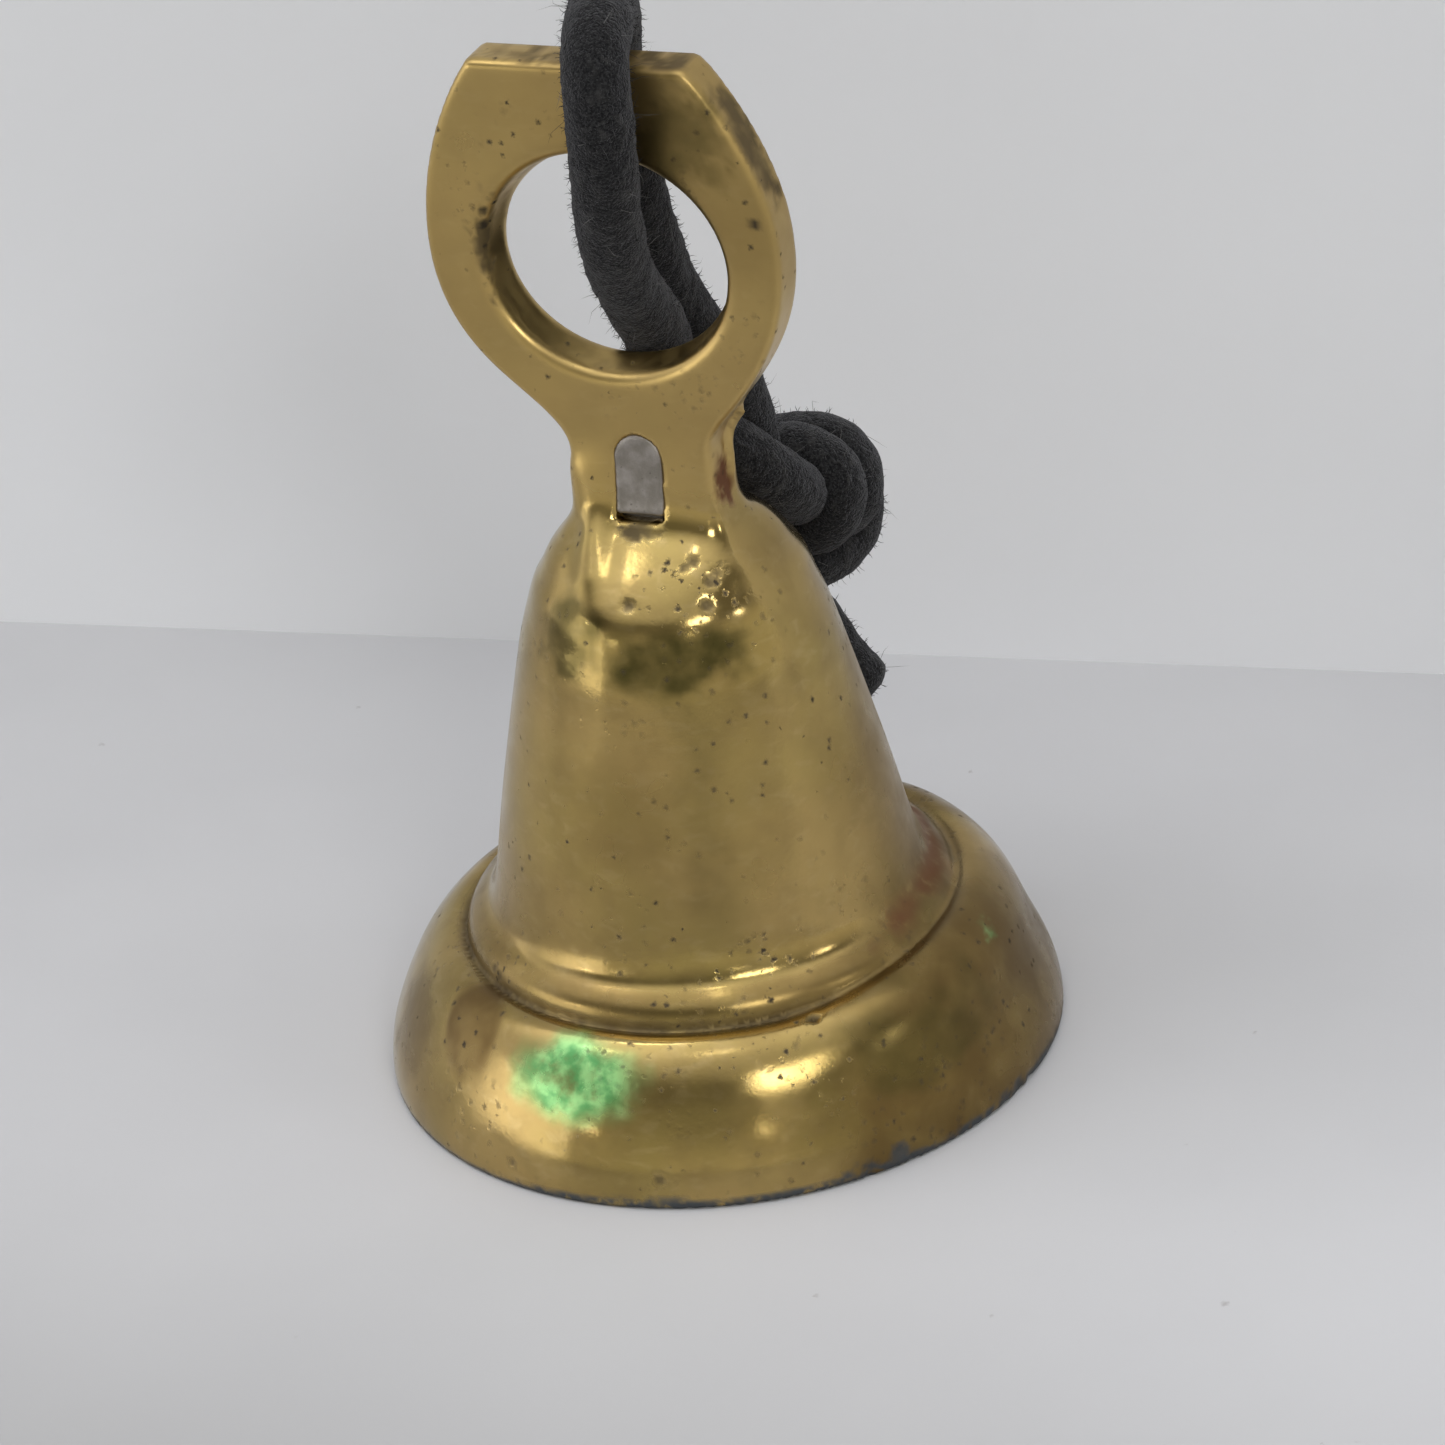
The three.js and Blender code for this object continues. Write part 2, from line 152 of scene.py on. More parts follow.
# chips in the rim and the larger casting pits: centre of the ball that cuts each, and its radius
NICKS = [
    ((24.3, -23.4, 0.9), 1.0), ((23.6, -24.4, 2.0), 0.8), ((26.7, -20.8, 1.6), 1.2),
    ((27.6, -19.7, 0.4), 1.0), ((33.4, -5.9, 0.7), 1.1), ((33.5, -3.4, 0.2), 0.9),
    ((-20.6, 26.6, 0.4), 1.1), ((30.4, 13.6, 0.3), 0.8),
]
PITS = [
    ((6.0, -7.3, 55.6), 0.45), ((7.9, -7.8, 54.0), 0.55), ((8.3, -7.0, 54.6), 0.4),
    ((7.9, -9.4, 52.2), 0.5), ((0.8, -11.5, 52.6), 0.5), ((5.3, -8.0, 55.2), 0.35),
    ((17.9, -18.6, 14.3), 0.45), ((-15.3, -18.4, 15.5), 0.4), ((-14.5, -19.2, 15.0), 0.4),
    ((-9.1, -31.8, 2.6), 0.35), ((6.5, -32.3, 3.2), 0.45), ((14.6, -3.8, 88.5), 0.45),
    ((11.4, -18.6, 19.4), 0.4), ((13.2, -17.2, 19.0), 0.35), ((15.2, -15.4, 19.8), 0.4),
    ((-12.8, -3.2, 86.4), 0.7), ((-12.9, -3.0, 84.2), 0.6), ((-12.2, -3.4, 82.2), 0.5),
    ((-12.4, -3.6, 88.0), 0.45),
]

# ---- camera, floor, wall and lights, in metres but for the camera's place ----
CAMERA_PLACE = (216.88, -444.66, 300.24)
CAMERA_RIGHT, CAMERA_UP = (0.9202, 0.3757, -0.1102), (-0.0910, 0.4788, 0.8732)
CAMERA_LENS, CAMERA_SENSOR = 146.45, 36.0
FLOOR_OPENING, FLOOR_REACH, FLOOR_SIDES = 0.029, 2.0, 64
WALL_MIDDLE, WALL_ALONG = (-0.008, 0.0755, 0), (0.994, 0.108, 0)
WALL_HALF_WIDTH, WALL_HEIGHT = 0.7, 0.5
LIT_PLACE = (0, 0, 0.04)        # what the lights look at
# the room's light: behind the bell, low and high on the camera's side, and overhead
ROOM_BEHIND, NEAR_LOW, NEAR_HIGH = (1.36, 1.37, 1.46), (0.68, 0.67, 0.60), (0.26, 0.255, 0.23)
CEILING_BEHIND, CEILING_NEAR = (2.0, 2.02, 2.1), (1.32, 1.33, 1.36)
CAMERA_SIDE = (0.44, -0.90, 0.0)
# name, azimuth and elevation in degrees, distance and size in metres, and power in watts; azimuth 0 is
# in front, along -Y, and grows towards +X
LIGHTS = [
    ("window_right", 43, 34, 1.1, (0.30, 0.24), 1.9),
    ("window_side", 80, 21, 1.1, (0.10, 0.14), 0.35),
    ("window_left", -50, 9, 1.3, (0.80, 0.45), 1.35),
    ("tube_left", -26, 12, 1.1, (0.14, 0.014), 0.05),
    ("tube_far_left", -44, 14, 1.1, (0.10, 0.014), 0.08),
    ("tube_right", 34, 15, 1.1, (0.10, 0.014), 0.04),
    ("lamp_front", 16, 71, 1.1, (0.10, 0.07), 0.2),
    ("lamp_high", -58, 60, 1.2, (0.16, 0.06), 0.25),
    ("back_fill", 200, 60, 1.3, (0.9, 0.9), 12.0),
]


# ---- lines and fields ----
def through(points, per_span=12):
    """A centripetal Catmull-Rom curve through the points."""
    points = np.asarray(points, float)
    points = np.vstack([2 * points[0] - points[1], points, 2 * points[-1] - points[-2]])
    pieces = []
    for p0, p1, p2, p3 in zip(points[:-3], points[1:-2], points[2:-1], points[3:]):
        t1 = np.linalg.norm(p1 - p0) ** 0.5
        t2 = t1 + np.linalg.norm(p2 - p1) ** 0.5
        t3 = t2 + np.linalg.norm(p3 - p2) ** 0.5
        t = np.linspace(t1, t2, per_span, endpoint=False)[:, None]
        a1 = (t1 - t) / t1 * p0 + t / t1 * p1
        a2 = (t2 - t) / (t2 - t1) * p1 + (t - t1) / (t2 - t1) * p2
        a3 = (t3 - t) / (t3 - t2) * p2 + (t - t2) / (t3 - t2) * p3
        b1 = (t2 - t) / t2 * a1 + t / t2 * a2
        b2 = (t3 - t) / (t3 - t1) * a2 + (t - t1) / (t3 - t1) * a3
        pieces.append((t2 - t) / (t2 - t1) * b1 + (t - t1) / (t2 - t1) * b2)
    pieces.append(points[-2][None])
    return np.vstack(pieces)


def bezier(p0, p1, p2, p3, count=24):
    t = np.linspace(0, 1, count, endpoint=False)[:, None]
    p0, p1, p2, p3 = (np.array(p, float) for p in (p0, p1, p2, p3))
    return (1 - t) ** 3 * p0 + 3 * (1 - t) ** 2 * t * p1 + 3 * (1 - t) * t * t * p2 + t ** 3 * p3


class Flat:
    """Signed distance to a closed outline in a plane, kept on a grid and read back between its points."""

    def __init__(self, outline, low, high, step=0.2):
        self.low, self.step = np.array(low, float), step
        u = np.arange(low[0], high[0] + step, step)
        v = np.arange(low[1], high[1] + step, step)
        grid = np.stack(np.meshgrid(u, v, indexing="ij"), -1)
        values = self.to_outline(grid.reshape(-1, 2), np.asarray(outline, float))
        self.values = values.reshape(grid.shape[:2])

    @staticmethod
    def to_outline(points, outline):
        nearest = np.full(len(points), 1e9)
        inside = np.zeros(len(points), bool)
        for a, b in zip(outline, np.roll(outline, -1, 0)):
            edge = b - a
            length = edge @ edge
            if length < 1e-12:
                continue
            rel = points - a
            t = np.clip(rel @ edge / length, 0, 1)
            nearest = np.minimum(nearest, ((rel - t[:, None] * edge) ** 2).sum(1))
            crosses = (a[1] > points[:, 1]) != (b[1] > points[:, 1])
            if edge[1]:
                inside ^= crosses & (points[:, 0] < a[0] + (points[:, 1] - a[1]) / edge[1] * edge[0])
        return np.sqrt(nearest) * np.where(inside, -1, 1)

    def __call__(self, u, v):
        fu = (u - self.low[0]) / self.step
        fv = (v - self.low[1]) / self.step
        fu = np.clip(fu, 0, self.values.shape[0] - 1.001)
        fv = np.clip(fv, 0, self.values.shape[1] - 1.001)
        iu, iv = fu.astype(int), fv.astype(int)
        du, dv = fu - iu, fv - iv
        g = self.values
        low = g[iu, iv] * (1 - du) + g[iu + 1, iv] * du
        high = g[iu, iv + 1] * (1 - du) + g[iu + 1, iv + 1] * du
        return low * (1 - dv) + high * dv


def step_up(value, low, high):
    """0 below low, 1 above high, and smooth between them."""
    t = np.clip((value - low) / (high - low), 0, 1)
    return t * t * (3 - 2 * t)


def band(value, low, full, fading, high):
    """1 between full and fading, 0 below low and above high, and smooth between them."""
    return step_up(value, low, full) * (1 - step_up(value, fading, high))


def distance(p, centre):
    return np.sqrt(((p - np.array(centre)) ** 2).sum(1))


def smooth_min(a, b, k):
    h = np.maximum(k - np.abs(a - b), 0) / k
    return np.minimum(a, b) - h * h * k / 4


def smooth_max(a, b, k):
    return -smooth_min(-a, -b, k)


def noise(points, scale, seed):
    """Smooth value noise from -1 to 1, the same on every run."""
    p = points / scale + 100.0
    cell = np.floor(p).astype(np.int64)
    f = p - cell
    f = f * f * (3 - 2 * f)
    total = 0.0
    for corner in range(8):
        offset = np.array([corner & 1, corner >> 1 & 1, corner >> 2 & 1])
        key = (cell + offset) @ np.array([73856093, 19349663, 83492791]) + seed * 2654435761
        key = (key ^ key >> 13) * 1274126177 & 0x7FFFFFFF
        key = (key ^ key >> 15) & 0xFFFF
        weight = np.prod(np.where(offset, f, 1 - f), axis=1)
        total = total + weight * (key / 32767.5 - 1)
    return total


# ---- the casting ----
def skirt_outline():
    return np.vstack([through(SKIRT), [(0, 12.0), (0, -0.6)]])


def waist_outline():
    return np.vstack([through(BEAD_AND_WAIST), [(0, 52.2), (0, 12.2)]])


def inner_outline():
    return np.vstack([[(0, -4.0), (31.4, -4.0)], through(INSIDE)])


def eye_outline():
    side = [
        bezier((-12.2, EYE_TOP), (-15.8, 98.4), (-18.7, 91.5), (-18.7, 84.6)),
        bezier((-18.7, 84.6), (-18.7, 79), (-16.6, 74.9), (-12.9, 71.4)),
        bezier((-12.9, 71.4), (-9.4, 68.2), (-7.0, 66.4), (-6.6, 63.4)),
        [(-6.6, 58.2), (-6.9, 54.6), (7.1, 54.6), (6.8, 58.2)],
        bezier((6.8, 63.6), (6.9, 66.6), (8.9, 67.8), (11, 70.5)),
        bezier((11, 70.5), (14.6, 75), (16.4, 79.4), (16.4, 85)),
        bezier((16.4, 85), (16.4, 91), (13.6, 97.2), (9.7, EYE_TOP - 0.6)),
        [(9.0, EYE_TOP)],
    ]
    return np.vstack(side)


SKIRT_FLAT = Flat(skirt_outline(), (0, -6), (37, 56))
WAIST_FLAT = Flat(waist_outline(), (0, -6), (37, 56))
INNER = Flat(inner_outline(), (0, -6), (37, 56))
EYE = Flat(eye_outline(), (-24, 54), (22, 108))
NECK_LINES = through(NECK, 8)


def neck_field(x, y, z):
    half, front, back, power = (np.interp(z, NECK_LINES[:, 0], NECK_LINES[:, i]) for i in (1, 2, 3, 4))
    depth = np.where(y < 0, front, back)
    shape = (np.abs(x / half) ** power + np.abs(y / depth) ** power) ** (1 / power)
    around = (shape - 1) * np.minimum(half, depth)
    return np.maximum(around, np.maximum(z - NECK[-1][0], NECK[0][0] - z))


def eye_field(x, y, z):
    thick = (EYE_BACK - EYE_FRONT) / 2
    across = np.abs(y - (EYE_BACK + EYE_FRONT) / 2) - thick + EYE_ROUNDING
    outline = EYE(x, z) + EYE_ROUNDING
    outside = np.hypot(np.maximum(across, 0), np.maximum(outline, 0))
    plate = outside + np.minimum(np.maximum(across, outline), 0) - EYE_ROUNDING
    ring = np.hypot((x - HOLE_X) / HOLE_HALF_WIDTH, (z - HOLE_Z) / HOLE_HALF_HEIGHT)
    taper = 0.7 * step_up(y, EYE_FRONT + 1, EYE_BACK)
    hole = (ring - 1) * HOLE_HALF_HEIGHT + taper
    return smooth_max(plate, -hole, HOLE_BLEND)


def ridge_field(p):
    nearest = np.full(len(p), 1e3)
    for a, b in zip(np.array(RIDGE[:-1]), np.array(RIDGE[1:])):
        t = np.clip((p - a) @ (b - a) / ((b - a) @ (b - a)), 0, 1)
        nearest = np.minimum(nearest, np.linalg.norm(p - a - t[:, None] * (b - a), axis=1))
    return nearest - RIDGE_RADIUS


def outside_field(p):
    """The casting's outer shape, as if it were solid inside and had no pocket for the strap."""
    x, y, z = p[:, 0], p[:, 1], p[:, 2]
    r = np.hypot(x, y)
    # the skirt climbs the bead on one side, as the mould's two halves didn't quite meet
    rise = SKIRT_RISE * step_up(0.94 * x + 0.34 * y, 6, 24) * step_up(z, 6, 13)
    body = smooth_min(SKIRT_FLAT(r, z - rise), WAIST_FLAT(r, z), CREASE_BLEND)
    body = np.minimum(body, neck_field(x, y, z))
    body = smooth_min(body, ridge_field(p), RIDGE_BLEND)
    for centre, size in NICKS + PITS:
        body = smooth_max(body, size - distance(p, centre), CHIP_BLEND)
    return smooth_min(body, eye_field(x, y, z), NECK_BLEND)


def strap_outline(x, z):
    """Distance to the strap's shape seen from the front: straight sides and a round top."""
    return np.hypot(x, np.maximum(z - STRAP_TOP + STRAP_HALF, 0)) - STRAP_HALF


def pocket_field(p):
    """The strap's room in the casting, which opens at the front of the neck and into the bell."""
    x, y, z = p.T
    shape = np.maximum(strap_outline(x, z) - STRAP_FIT, y - STRAP_BACK - STRAP_FIT)
    front = np.where(z > STRAP_WINDOW_FOOT, -1.0, EYE_FRONT - STRAP_FIT - y)
    return np.maximum(np.maximum(shape, front), INSIDE[-3][1] - 2 - z)


def bell_field(p):
    body = smooth_max(outside_field(p), -INNER(np.hypot(p[:, 0], p[:, 1]), p[:, 2]), RIM_BLEND)
    body = smooth_max(body, -p[:, 2], RIM_BLEND)
    return smooth_max(body, -pocket_field(p), POCKET_BLEND)


def strap_field(p):
    """The iron strap: ground flush with the neck in front, with a drilled lug inside the bell."""
    x, y, z = p.T
    face = smooth_max(outside_field(p) - 0.02, STRAP_FACE_FOOT - z, 0.7)
    bar = np.maximum(strap_outline(x, z), np.maximum(y - STRAP_BACK, STRAP_FOOT - z))
    bar = smooth_max(bar, np.minimum(face, EYE_FRONT - y), 0.3)
    lug = np.hypot(x, np.minimum(z - LUG_HOLE_Z, 0)) - LUG_RADIUS
    lug = smooth_max(lug, np.abs(y) - LUG_HALF_THICKNESS, 0.5)
    lug = np.maximum(lug, z - LUG_TOP)
    hole = LUG_HOLE_RADIUS - np.hypot(x, z - LUG_HOLE_Z)
    return smooth_max(smooth_min(bar, lug, 0.6), hole, 0.4)


def surface_net(field, low, high, step):
    """Quads round the zero level of field, one corner in each grid cell that the level crosses."""
    axes = [np.arange(a, b + step, step) for a, b in zip(low, high)]
    shape = tuple(len(a) for a in axes)
    values = np.empty(shape)
    for i, x in enumerate(axes[0]):
        y, z = np.meshgrid(axes[1], axes[2], indexing="ij")
        flat = np.stack([np.full(y.size, x), y.ravel(), z.ravel()], 1)
        values[i] = field(flat).reshape(y.shape)
    inside = values < 0
    cells = tuple(n - 1 for n in shape)
    total = np.zeros(cells + (3,))
    count = np.zeros(cells)
    corner = lambda i, j, k: np.s_[i:i + cells[0], j:j + cells[1], k:k + cells[2]]
    for axis in range(3):
        for first in (0, 1):
            for second in (0, 1):
                start = [0, 0, 0]
                start[(axis + 1) % 3], start[(axis + 2) % 3] = first, second
                end = list(start)
                end[axis] = 1
                a, b = values[corner(*start)], values[corner(*end)]
                hit = (a < 0) != (b < 0)
                where = np.where(hit, a / np.where(hit, a - b, 1), 0)
                for i in range(3):
                    offset = where if i == axis else start[i]
                    total[..., i] += np.where(hit, offset, 0)
                count += hit
    used = count > 0
    index = np.full(cells, -1)
    index[used] = np.arange(used.sum())
    corners = np.argwhere(used) + total[used] / count[used][:, None]
    corners = corners * step + np.array([a[0] for a in axes])
    quads = []
    for axis in range(3):
        u, v = (axis + 1) % 3, (axis + 2) % 3
        start = [slice(1, -1)] * 3
        start[axis] = slice(0, cells[axis])
        end = [slice(1, -1)] * 3
        end[axis] = slice(1, cells[axis] + 1)
        a, b = inside[tuple(start)], inside[tuple(end)]
        at = np.argwhere(a != b)
        at[:, u] += 1
        at[:, v] += 1
        outward = a[a != b]
        around = []
        for du, dv in ((1, 1), (0, 1), (0, 0), (1, 0)):
            cell = at.copy()
            cell[:, u] -= du
            cell[:, v] -= dv
            around.append(index[tuple(cell.T)])
        quad = np.stack(around, 1)
        quad[~outward] = quad[~outward][:, ::-1]
        quads.append(quad)
    return corners, np.vstack(quads)


def gradient(field, p, h=0.05):
    out = np.empty_like(p)
    for i in range(3):
        step = np.zeros(3)
        step[i] = h
        out[:, i] = (field(p + step) - field(p - step)) / (2 * h)
    return out


def onto(field, p, times=2):
    """Moves points onto the zero level of field."""
    for _ in range(times):
        g = gradient(field, p)
        square = np.maximum((g * g).sum(1), 0.05)
        p = p - np.clip(field(p) / square, -0.5, 0.5)[:, None] * g
    return p


def evened(field, p, quads, times=3):
    """Slides the corners along the surface to even out the quads."""
    edges = np.vstack([quads[:, [i, (i + 1) % 4]] for i in range(4)])
    degree = np.bincount(edges.ravel(), minlength=len(p))
    for _ in range(times):
        total = np.zeros_like(p)
        for i in range(3):
            total[:, i] = np.bincount(edges[:, 0], p[edges[:, 1], i], len(p))
            total[:, i] += np.bincount(edges[:, 1], p[edges[:, 0], i], len(p))
        move = total / degree[:, None] - p
        g = gradient(field, p)
        normal = g / np.maximum(np.linalg.norm(g, axis=1), 1e-6)[:, None]
        move -= (move * normal).sum(1)[:, None] * normal
        p = onto(field, p + 0.6 * move, 1)
    return p


def placed(name, data):
    """A new object in the scene that shows data."""
    obj = bpy.data.objects.new(name, data)
    bpy.context.scene.collection.objects.link(obj)
    return obj


def mesh_object(name, points, faces, material, smooth=True):
    """points are in millimetres."""
    mesh = bpy.data.meshes.new(name)
    mesh.from_pydata((np.asarray(points) * MM).tolist(), [], [list(map(int, f)) for f in faces])
    mesh.validate()
    mesh.update()
    mesh.polygons.foreach_set("use_smooth", [smooth] * len(mesh.polygons))
    mesh.materials.append(material)
    return placed(name, mesh)


def carved(name, field, low, high, step, material):
    """A mesh of the surface where field is zero, in a box from low to high."""
    points, quads = surface_net(field, low, high, step)
    points = evened(field, onto(field, points, 3), quads)
    return mesh_object(name, points, quads, material)


def stands_for(obj, body, slot_name, *cad_nodes):
    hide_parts(*cad_nodes)
    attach(obj, body)


# stains, and some painted shade and painted dark reflections: strength, middle, half-sizes, how ragged the
# edge is, and the seed of the edge
STAINS = {
    "green": [
        (1.0, (-2.7, -28.9, 11.0), (7.8, 5.0, 4.2), 0.14, 3),
        (0.55, (27.5, 0.5, 12.9), (1.4, 1.6, 1.4), 0.5, 4),
    ],
    "rust": [(1.0, (7.0, -1.4, 61.0), (1.2, 1.7, 3.2), 0.4, 6)],
    "smoke_and_dark_reflection": [
        # the first and third patches, on the shoulder, are partly painted dark reflection of the room and
        # partly olive tarnish
        (1.0, (5.6, -12.9, 47.6), (7.2, 5.0, 3.8), 0.35, 9),
        (0.6, (8.0, -3.4, 96.5), (5.5, 2.0, 5.5), 0.4, 10),
        (0.85, (-5.0, -12.4, 49.0), (4.6, 4.0, 3.4), 0.4, 13),
        (0.6, (26.0, -12.0, 10.0), (7.0, 9.0, 5.5), 0.5, 14),
    ],
    "patina": [
        (1.0, (-15.6, -23.1, 12.0), (4.2, 5.4, 5.4), 0.3, 28),
        (0.7, (-24.0, -17.0, 8.0), (5.0, 7.0, 6.0), 0.3, 30),
    ],
    "pitted": [
        (1.0, (6.5, -8.6, 53.6), (5.0, 3.6, 3.6), 0.4, 15),
        (1.0, (12.6, -17.4, 19.0), (6.0, 5.0, 1.9), 0.5, 16),
        (0.8, (-14.6, -18.6, 15.4), (4.0, 4.0, 2.0), 0.5, 17),
        (1.0, (-12.5, -3.2, 85.5), (1.6, 1.5, 5.5), 0.5, 18),
    ],
    "grime_and_shade": [
        # painted shade in the recess at the foot of the strap, with some dirt
        (0.8, (0, -5.6, 57.2), (2.2, 1.2, 0.9), 0.4, 25),
        (0.8, (-12.6, -3.2, 85.0), (1.3, 1.3, 5.0), 0.6, 20),
    ],
}


def blot(p, centre, radii, ragged, seed):
    """1 inside a ragged patch, falling to 0 over its edge."""
    reach = np.sqrt((((p - np.array(centre)) / np.array(radii)) ** 2).sum(1))
    reach = reach + ragged * noise(p, min(radii) * 0.8, seed)
    reach = reach + 0.5 * ragged * noise(p, min(radii) * 0.3, seed + 1)
    return 1 - step_up(reach, 0.55, 1.15)


def largest(*masks):
    return np.maximum.reduce(masks)


def stains(p, name):
    return largest(*[strength * blot(p, *patch) for strength, *patch in STAINS[name]])


def bell_masks(p):
    """Where the brass is stained, dirty, pitted or oxidised, or carries painted shade and painted dark
    reflections, from 0 to 1 at each corner.
    """
    x, y, z = p.T
    r = np.hypot(x, y)
    heading = np.arctan2(x, -y)
    rough_edge = 0.5 * noise(p, 1.6, 11) + 0.25 * noise(p, 0.6, 12)
    pit = largest(*[1 - step_up(distance(p, c), 0.6 * s, 1.2 * s + 0.25) for c, s in PITS])
    nick = largest(*[1 - step_up(distance(p, c), s - 0.05, s + 0.35) for c, s in NICKS])
    edge = 1 - step_up(z + 0.8 * rough_edge - 0.5 * step_up(x - y, 10, 40), 0.15, 0.75)
    hole = np.hypot((x - HOLE_X) / HOLE_HALF_WIDTH, (z - HOLE_Z) / HOLE_HALF_HEIGHT)
    in_hole = (1 - step_up(hole, 1.0, 1.06)) * step_up(z, 66, 70)
    top = step_up(z, EYE_TOP - 0.25, EYE_TOP - 0.05)
    right_side = blot(p, (14.0, -1.0, 96.0), (4.0, 2.4, 7.0), 0.6, 21) * step_up(y, -3.4, -2.6)
    joint = step_up(r, 20.0, 21.0) * (1 - step_up(r + noise(p, 2.0, 26), 22.8, 24.0))
    joint = joint * band(z, 13, 14.5, 19, 21.5) * step_up(0.97 * x + 0.22 * y, 16.5, 20)
    # the hollow where the skirt meets the bead; the darkening put in it below is painted shade
    crease = np.exp(-((r - 23.8) ** 2 + (z - 13.9) ** 2) / 0.55)
    cove = np.exp(-((r - 21.9) ** 2 + (z - 17.4 + 0.8 * rough_edge) ** 2) / 2.6)
    cove = cove * step_up(0.95 * x + 0.3 * y + 2 * rough_edge, 15.5, 19.5)
    crease_rust = crease * step_up(0.9 * x + 0.4 * y, 17, 22)
    cove_rust = cove * step_up(noise(p, 2.4, 7), -0.6, 0.1)
    # painted dark reflection: a vertical stripe down the waist facing the camera, where the dark side of the
    # room is mirrored
    camera_side_reflection = np.exp(-((heading - 0.48) / 0.16) ** 2) * band(z, 18, 24, 42, 48)
    right_skirt = step_up(0.97 * x - 0.1 * y + 1.6 * noise(p, 6, 22), 18.5, 26.0) * (1 - step_up(z, 18, 21))
    right_waist = step_up(0.8 * x + 0.6 * y + 2.0 * noise(p, 8, 23), 9, 16) * band(z, 17, 20, 46, 54)
    bead = band(r, 21.2, 22.4, 24.2, 25.2) * step_up(z, 12.5, 13.5)
    back = step_up(-0.3 * x + y, 9, 17)
    clouds, pocks = step_up(noise(p, 11.0, 24), 0.0, 0.7), step_up(noise(p, 7.0, 19), 0.1, 0.6)
    outside = step_up(INNER(r, z), 0.4, 0.9)
    return {
        "green": outside * stains(p, "green"),
        "rust": outside * largest(stains(p, "rust"), crease_rust, 0.9 * cove_rust),
        # tarnish and the mould joint, plus painted dark reflection on the shoulder and down the waist
        "smoke_and_dark_reflection": outside * largest(stains(p, "smoke_and_dark_reflection"), 0.45 * joint, 0.35 * camera_side_reflection),
        "satin": step_up(z, 57, 62) + 0.3 * band(z, 19, 23, 40, 45),
        "patina": largest(stains(p, "patina"), 0.95 * right_skirt, 0.65 * right_waist, 0.6 * bead,
                          0.35 * clouds, 0.9 * back),
        "pitted": largest(stains(p, "pitted"), 0.8 * right_side, 0.35 * pocks),
        # dirt on the eye and in its hole, plus painted shade in the crease above the skirt and in the recess
        # under the strap
        "grime_and_shade": largest(stains(p, "grime_and_shade"), 0.8 * crease, 0.75 * top * step_up(rough_edge, -0.25, 0.2),
                         0.8 * right_side, 0.2 * in_hole * step_up(rough_edge, -0.2, 0.3)),
        "pit": pit,
        "oxide": largest(edge, 0.9 * nick),
    }


def add_masks(obj, masks):
    for name, values in masks.items():
        layer = obj.data.attributes.new(name, "FLOAT", "POINT")
        layer.data.foreach_set("value", np.clip(values, 0, 1).astype(np.float32))


def bell_casting(material):
    step = BELL_MESH_STEP
    obj = carved("bell", bell_field, (-34.6, -34.6, -1.5), (34.6, 34.6, 104.5), step, material)
    points = np.empty(len(obj.data.vertices) * 3, np.float32)
    obj.data.vertices.foreach_get("co", points)
    add_masks(obj, bell_masks(points.reshape(-1, 3).astype(float) / MM))
    stands_for(obj, "bell", "cast_brass", "bell_casting")


# ---- the strap, the link, the shank and the ball ----
def lathe(profile, sides, rough=0.0, seed=0):
    """Points and faces of a closed round piece on the Z axis, from its lower end to its upper end."""
    profile = np.asarray(profile, float)
    angle = np.linspace(0, 2 * np.pi, sides, endpoint=False)
    r, z = profile[:, 0][:, None], profile[:, 1][:, None]
    rings = np.stack([r * np.cos(angle), r * np.sin(angle), z + 0 * angle], -1)
    points = rings.reshape(-1, 3)
    reach = np.maximum(np.hypot(*points.T[:2]), 1)
    points = points * (1 + rough * noise(points, 1.6, seed) / reach)[:, None]
    return points, tube_faces(len(profile), sides, closed=False)


def tube_faces(rings, sides, closed):
    """Quads between rings of points, with an n-gon at each end unless the tube is closed on itself."""
    faces = []
    for i in range(rings if closed else rings - 1):
        a, b = i * sides, (i + 1) % rings * sides
        faces += [(a + k, a + (k + 1) % sides, b + (k + 1) % sides, b + k) for k in range(sides)]
    if not closed:
        faces += [tuple(range(sides))[::-1], tuple(range((rings - 1) * sides, rings * sides))]
    return faces


def crown_strap(material):
    obj = carved("strap", strap_field, (-4.4, -8.0, 41.0), (4.4, 2.0, 67.0), STRAP_MESH_STEP, material)
    stands_for(obj, "bell", "grey_iron", "crown_strap")


def wire_ring(centre, radius, wire, axis, seed):
    """A ring of round wire about the x or y axis, with its two ends meeting in a small joint."""
    sides, rings = 20, 96
    around = np.linspace(0, 2 * np.pi, rings, endpoint=False)
    across = np.linspace(0, 2 * np.pi, sides, endpoint=False)
    joint = 1 - RING_JOINT_DEPTH * np.exp(-((around - np.pi) / RING_JOINT_WIDTH) ** 2)
    thick = wire * joint[:, None] * np.ones(sides)
    reach = radius + thick * np.cos(across)
    points = np.stack([reach * np.cos(around)[:, None], reach * np.sin(around)[:, None],
                       thick * np.sin(across)], -1).reshape(-1, 3)
    points = points[:, [2, 0, 1] if axis == "x" else [1, 2, 0]]
    points = points + np.array(centre) + WIRE_ROUGHNESS * noise(points, 1.5, seed)[:, None]
    return points, tube_faces(rings, sides, closed=True)


def clapper_link(material):
    points, faces = wire_ring((0, 0, LINK_TOP - LINK_RADIUS), LINK_RADIUS, LINK_WIRE, "x", 41)
    stands_for(mesh_object("link", points, faces, material), "link", "dull_steel", "clapper_link")


